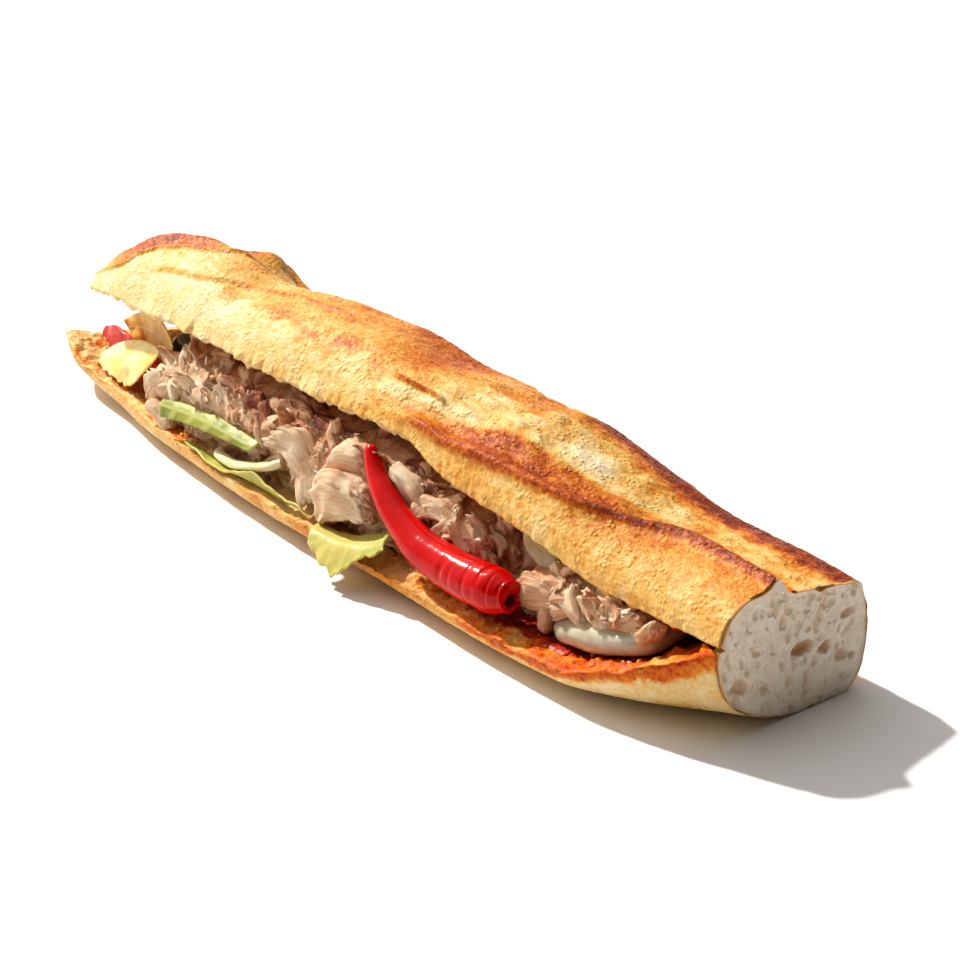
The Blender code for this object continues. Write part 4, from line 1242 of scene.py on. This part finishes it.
def flake_mesh(rng, centre, radii, turn, power, rows, columns, strands, fray=0.25):
    """Rings of one flake of tuna, with its fibres running along it, and its own coordinates."""
    local = lump((0, 0, 0), radii, (0, 0, 0), power, rows, columns)[1]
    bend = rng.uniform(-0.6, 0.6) / radii[0]
    seed = rng.randrange(10000)
    across = np.stack([0.12 * local[..., 0], local[..., 1], local[..., 2]], -1)
    ridges = noise(across + seed, 0.9, seed) * strands
    threads = np.stack([0 * local[..., 0] + seed, local[..., 1] * 1.6, local[..., 2] * 1.6], -1)
    frayed = noise(threads, 1.0, seed + 1)
    ends = smooth((np.abs(local[..., 0]) / radii[0] - 0.35) / 0.65)
    shape = local.copy()
    shape[..., 0] = local[..., 0] * (1 + fray * ends * frayed)
    away = np.linalg.norm(local[..., 1:], axis=-1, keepdims=True)
    shape[..., 1:] = local[..., 1:] * (1 + ridges[..., None] / np.maximum(0.7, away))
    lengthwise = shape * np.array((0.3, 1, 1)) + seed
    uneven = 1 + 0.20 * noise(lengthwise, 3.2, seed + 2) + 0.10 * noise(lengthwise, 1.3, seed + 4)
    shape[..., 1:] = shape[..., 1:] * uneven[..., None]
    shape[..., 2] += bend * shape[..., 0] ** 2 + 0.35 * noise(shape + seed, 3.0, seed + 5)
    shape[..., 1] += 0.35 * noise(shape + seed, 3.5, seed + 3)
    return shape @ turned(turn).T + np.array(centre), local


def surface_tree(obj):
    """The object's surface, in the part's millimetres, for finding what is near it."""
    points = [Vector(np.array(v.co) / MM - SHIFT) for v in obj.data.vertices]
    return BVHTree.FromPolygons(points, [tuple(p.vertices) for p in obj.data.polygons])


def clumps(points, size, seed):
    """Relief of packed clumps of fish in millimetres, and coordinates that run along each one's fibres."""
    near, which = cells(points, size, seed)
    angle = which * 2 * np.pi
    run = np.stack([
        points[..., 0] * np.cos(angle) + points[..., 2] * np.sin(angle),
        points[..., 2] * np.cos(angle) - points[..., 0] * np.sin(angle),
        points[..., 1] + 40 * which,
    ], -1)
    dome = 1 - (near / 0.72) ** 2
    ridges = 1 - np.abs(noise(run * np.array((0.12, 1, 1)), 1.3, seed + 5))
    steps = noise(run * np.array((0.25, 1, 1)), 3.0, seed + 6)
    return dome * size * 0.26 + 0.55 * (ridges - 0.5) + 0.5 * steps, run


def painted_lid_shadow(x, z):
    """How deep under the lid a place on the tuna's front lies, from 0 to 1: the lid's painted shadow."""
    return smooth((z - 25 - 6 * smooth((-30 - x) / 30)) / 7)


def build_tuna(material, others):
    rng = random.Random(SEED)
    parts = Parts()
    core = tuna_core_rings(TUNA_ROWS)
    relief, run = clumps(core, 8.5, 101)
    relief = relief + 0.45 * clumps(core, 3.6, 105)[0]
    core = core + grid_normals(core, around=True) * (relief - 1.9)[..., None]
    # The core's tone is painted darker under the lid as the lid's shadow, and darker in the gaps between
    # clumps as painted shade; the noise is the fish's own mottling
    tone = 0.52 - 0.32 * painted_lid_shadow(core[..., 0], core[..., 2]) + 0.14 * noise(core, 8, 102) + 0.14 * relief
    add_skin(parts, core, grain=run, tone=np.clip(tone, 0.1, 0.9))
    for centre, radii, turn, power in CHUNKS:
        small = tuple(0.93 * radius for radius in radii)
        rings, local = flake_mesh(rng, centre, small, turn, 0.62 * power, 66, 64, 0.26, 0.10)
        rings = roughened(rings, 0.5, 4.5, 108, around=True)
        tone = 0.74 - 0.20 * (centre[0] > 95) + 0.24 * noise(rings, 6, 103)
        add_skin(parts, rings, grain=local, tone=tone)
    parts.make("tuna_heap", material, "tuna")
    trees = [surface_tree(obj) for obj in others]

    def clear(centre, reach):
        nearest = (tree.find_nearest(Vector(centre)) for tree in trees)
        return all(found[0] is None or found[3] >= reach for found in nearest)

    def place(high):
        """A random place on the front and the top of the tuna."""
        x, share = rng.uniform(TUNA_START - 2, TUNA_END - 1), rng.uniform(0.0, high)
        y, z = tuna_front(np.array(x), np.array(min(1.0, share)))
        back = max(0.0, share - 1) * 50
        z = min(z + 0.3 * back, roof_height(x, y + back) - 2.0)
        return x, float(y + back), float(z)

    flakes = Parts()
    for _ in range(FLAKES):
        x, y, z = place(1.15)
        centre = (x, y + rng.uniform(-1.2, 0.6), z + rng.uniform(-0.8, 0.8))
        radii = (rng.uniform(2.4, 5.4), rng.uniform(1.5, 2.8), rng.uniform(0.8, 1.6))
        if not clear(centre, 2.2):
            continue
        turn = (rng.uniform(35, 125), rng.gauss(10, 38), rng.uniform(-25, 25))
        rings, local = flake_mesh(rng, centre, radii, turn, 0.52, 15, 20, 0.34, 0.30)
        # Flakes under the lid are painted darker as the lid's shadow; the rest is the fish's own tone
        tone = rng.uniform(0.52, 1.0) - 0.36 * painted_lid_shadow(x, z - 1) - 0.16 * (x > 95)
        tone = tone + 0.12 * noise(local, 2.0, 107)
        add_skin(flakes, rings, grain=local + rng.uniform(0, 50), tone=tone)
    flakes.make("tuna_flakes", material, "tuna")

    fibres = Parts()
    for _ in range(FIBRES):
        x, y, z = place(1.05)
        centre = (x, y + rng.uniform(-2.2, 0.0), z + rng.uniform(-0.5, 0.8))
        if not clear(centre, 2.4):
            continue
        radii = (rng.uniform(1.0, 2.8), rng.uniform(0.25, 0.6), rng.uniform(0.2, 0.4))
        turn = (rng.uniform(-90, 90), rng.uniform(-180, 180), rng.uniform(-25, 25))
        rings, local = flake_mesh(rng, centre, radii, turn, 0.8, 6, 7, 0.05)
        grain = local + rng.uniform(0, 50)
        add_skin(fibres, rings, grain=grain, tone=np.full(local.shape[:2], rng.uniform(0.58, 1.0)))
    fibres.make("tuna_fibres", material, "tuna")


def build_sauce(material):
    """Thicker sauce where it has gathered on the cut face, beside the chilli and under the egg."""
    x, v = lattice(np.linspace(64, 150, 170), np.linspace(0.05, 0.42, 60))
    points = np.stack([x, *lower_inner(x, v)], -1)
    spread = between(x, 66, 14, 148, 8) * between(v, 0.05, 0.05, 0.42, 0.08)
    film = spread * smooth((fractal(points, 7, 4, 111) + 0.35) / 0.5)
    grains = np.clip(1 - (cells(points, 1.3, 113)[0] / 0.6) ** 2, 0, 1)
    points[..., 2] = points[..., 2] - 1.4 + 1.9 * film + 0.35 * grains * film
    return sheet_piece("harissa_sauce", material, None, "chilli_skin", points, 0.4)


def build_crumbs(material):
    """Crumbs lying on the lower half's cut face, near its rim."""
    rng = random.Random(SEED + 1)
    parts = Parts()
    for _ in range(CRUMBS):
        x, v = rng.uniform(-120, 150), rng.uniform(0.03, 0.16)
        y, z = lower_inner(np.array(x), np.array(v))
        size = rng.uniform(0.3, 0.8)
        radii = (size * rng.uniform(1.0, 1.6), size, size * rng.uniform(0.6, 1.0))
        turn = tuple(rng.uniform(0, 180) for _ in range(3))
        rings, _ = lump((x, float(y), float(z) + 0.5 * size), radii, turn, 0.8, 6, 8)
        rings = rings + 0.25 * size * np.stack([noise(rings, 0.8, 141 + k) for k in range(3)], -1)
        blank = np.zeros(rings.shape[:2])
        add_skin(parts, rings, toast=blank + rng.uniform(0.1, 0.6), crumb=blank, sauce=blank, raised=blank)
    return parts.make("bread_crumbs", material, None)


def build_tomato(material):
    grid = roughened(patch(TOMATO, 90, 40), 0.4, 5, 131)
    return sheet_piece("tomato_piece", material, "tomato_slice", "tomato_flesh", grid, 2.2)


def build_olive(material):
    rings = roughened(lump(**OLIVE, power=1.0, rows=40, columns=48)[0], 0.3, 4, 135, around=True)
    return skin_piece("olive_piece", material, "olive", "olive_skin", rings)


# The pieces, in the order in which they are made
crust = crust_material()
build_bread(crust)
build_cut_end(crumb_material())
beside = [build_chilli(chilli_material()), build_egg(egg_material()), *build_onions(onion_material())]
green = leaf_material("lettuce_leaf", (198, 184, 92), (172, 170, 62), (120, 132, 32), (192, 188, 104))
heart = leaf_material("lettuce_heart", (248, 234, 158), (248, 206, 92), (230, 144, 40), (250, 234, 168))
# The arguments of build_leaf for each leaf, in their order
LEAVES = (
    (
        "lettuce_rib_strip", "lettuce_rib", "lettuce", green, LETTUCE_RIB, (120, 30), 1.1, 0.3,
        (0.5, 5, 0.3, 0.05), lambda s, t: 0.80 - 0.35 * bump(t, 0.2), (0.25, 9), 121, 0,
    ),
    (
        "lettuce_fold_leaf", "lettuce_fold", "lettuce", green, LETTUCE_FOLD, (180, 30), 0.8, 0.7,
        (0.1, 9, 0.6, 0.012), lambda s, t: 0.55 - 0.5 * smooth((t - 0.75) / 0.25), (0.3, 9), 122, 0.6,
    ),
    (
        "lettuce_hanging_leaf", "lettuce_leaf", "lettuce", green, LETTUCE_LEAF, (130, 80), 0.8, 0.45,
        (0.35, 6, 0.7, 0.012), lambda s, t: 0.12 + 0.35 * smooth((s - 0.5) / 0.5), (0.25, 10), 123, 0.9,
    ),
    (
        "heart_leaf_front_part", "heart_leaf_front", "lettuce_heart", heart, HEART_FRONT, (120, 60), 0.9,
        1.1, (0.3, 6, 0.8, 0.012), lambda s, t: 0.30, (0.35, 10), 124, 1.2,
    ),
    (
        "heart_leaf_back_part", "heart_leaf_back", "lettuce_heart", heart, HEART_BACK, (120, 50), 0.9, 1.1,
        (0.4, 6, 0.8, 0.012), lambda s, t: 0.55, (0.35, 10), 125, 0.8,
    ),
)
beside += [build_leaf(*leaf) for leaf in LEAVES]
build_tomato(tomato_material())
build_crumbs(crust)
build_olive(olive_material())
build_sauce(sauce_material())
build_tuna(tuna_material(), beside)

# Floor, camera and light
floor_mesh = bpy.data.meshes.new("floor")
floor_mesh.from_pydata([(-6, -6, 0), (6, -6, 0), (6, 6, 0), (-6, 6, 0)], [], [(0, 1, 2, 3)])
floor = placed("floor", floor_mesh)
# A little under the bread, so that the two faces stay apart
floor.location.z = -0.0002
paint = {"Base_Color": linear((240, 240, 240)), "Roughness": 0.9, "Specular_IOR_Level": 0.1}
floor_mesh.materials.append(Nodes("pale_floor").finish(**paint))

CAMERA_PLACE = (0.7127355, -0.5686174, 0.4211549)
CAMERA_HEIGHT_DEGREES, CAMERA_TURN_DEGREES = 24.0, 49.5
tip, turn = math.radians(CAMERA_HEIGHT_DEGREES), math.radians(CAMERA_TURN_DEGREES)
right = Vector((math.cos(turn), math.sin(turn), 0))
away = -(Vector((math.sin(turn), -math.cos(turn), 0)) * math.cos(tip) + Vector((0, 0, 1)) * math.sin(tip))
up = right.cross(away)
lens = bpy.data.cameras.new("camera")
lens.sensor_width = 36.0
lens.lens = 120.0
lens.clip_end = 50.0
camera = placed("camera", lens)
pose = Matrix((right, up, -away)).transposed().to_4x4()
pose.translation = Vector(CAMERA_PLACE)
camera.matrix_world = pose
bpy.context.scene.camera = camera

SUN_TRAVEL = Vector((1.12, 0.06, -1.0))
sun = bpy.data.lights.new("sun", "SUN")
sun.energy = 5.1
sun.angle = math.radians(2.5)
sun.color = (1.0, 0.97, 0.92)
sun_object = placed("sun", sun)
sun_object.rotation_mode = "QUATERNION"
sun_object.rotation_quaternion = SUN_TRAVEL.to_track_quat("-Z", "Y")

world = bpy.data.worlds.new("studio")
world.use_nodes = True
sky = world.node_tree
direction = sky.nodes.new("ShaderNodeTexCoord").outputs["Generated"]
facing = sky.nodes.new("ShaderNodeVectorMath")
facing.operation = "DOT_PRODUCT"
sky.links.new(direction, facing.inputs[0])
facing.inputs[1].default_value = -SUN_TRAVEL.normalized()
glow = sky.nodes.new("ShaderNodeMapRange")
glow.interpolation_type = "SMOOTHSTEP"
sky.links.new(facing.outputs["Value"], glow.inputs["Value"])
for name, number in zip(("From Min", "From Max", "To Min", "To Max"), (0.2, 1.0, 0.03, 1.25)):
    glow.inputs[name].default_value = number
sky.links.new(glow.outputs["Result"], sky.nodes["Background"].inputs["Strength"])
sky.nodes["Background"].inputs["Color"].default_value = (1.0, 0.95, 0.92, 1.0)
bpy.context.scene.world = world
bpy.context.scene.view_settings.view_transform = "Standard"
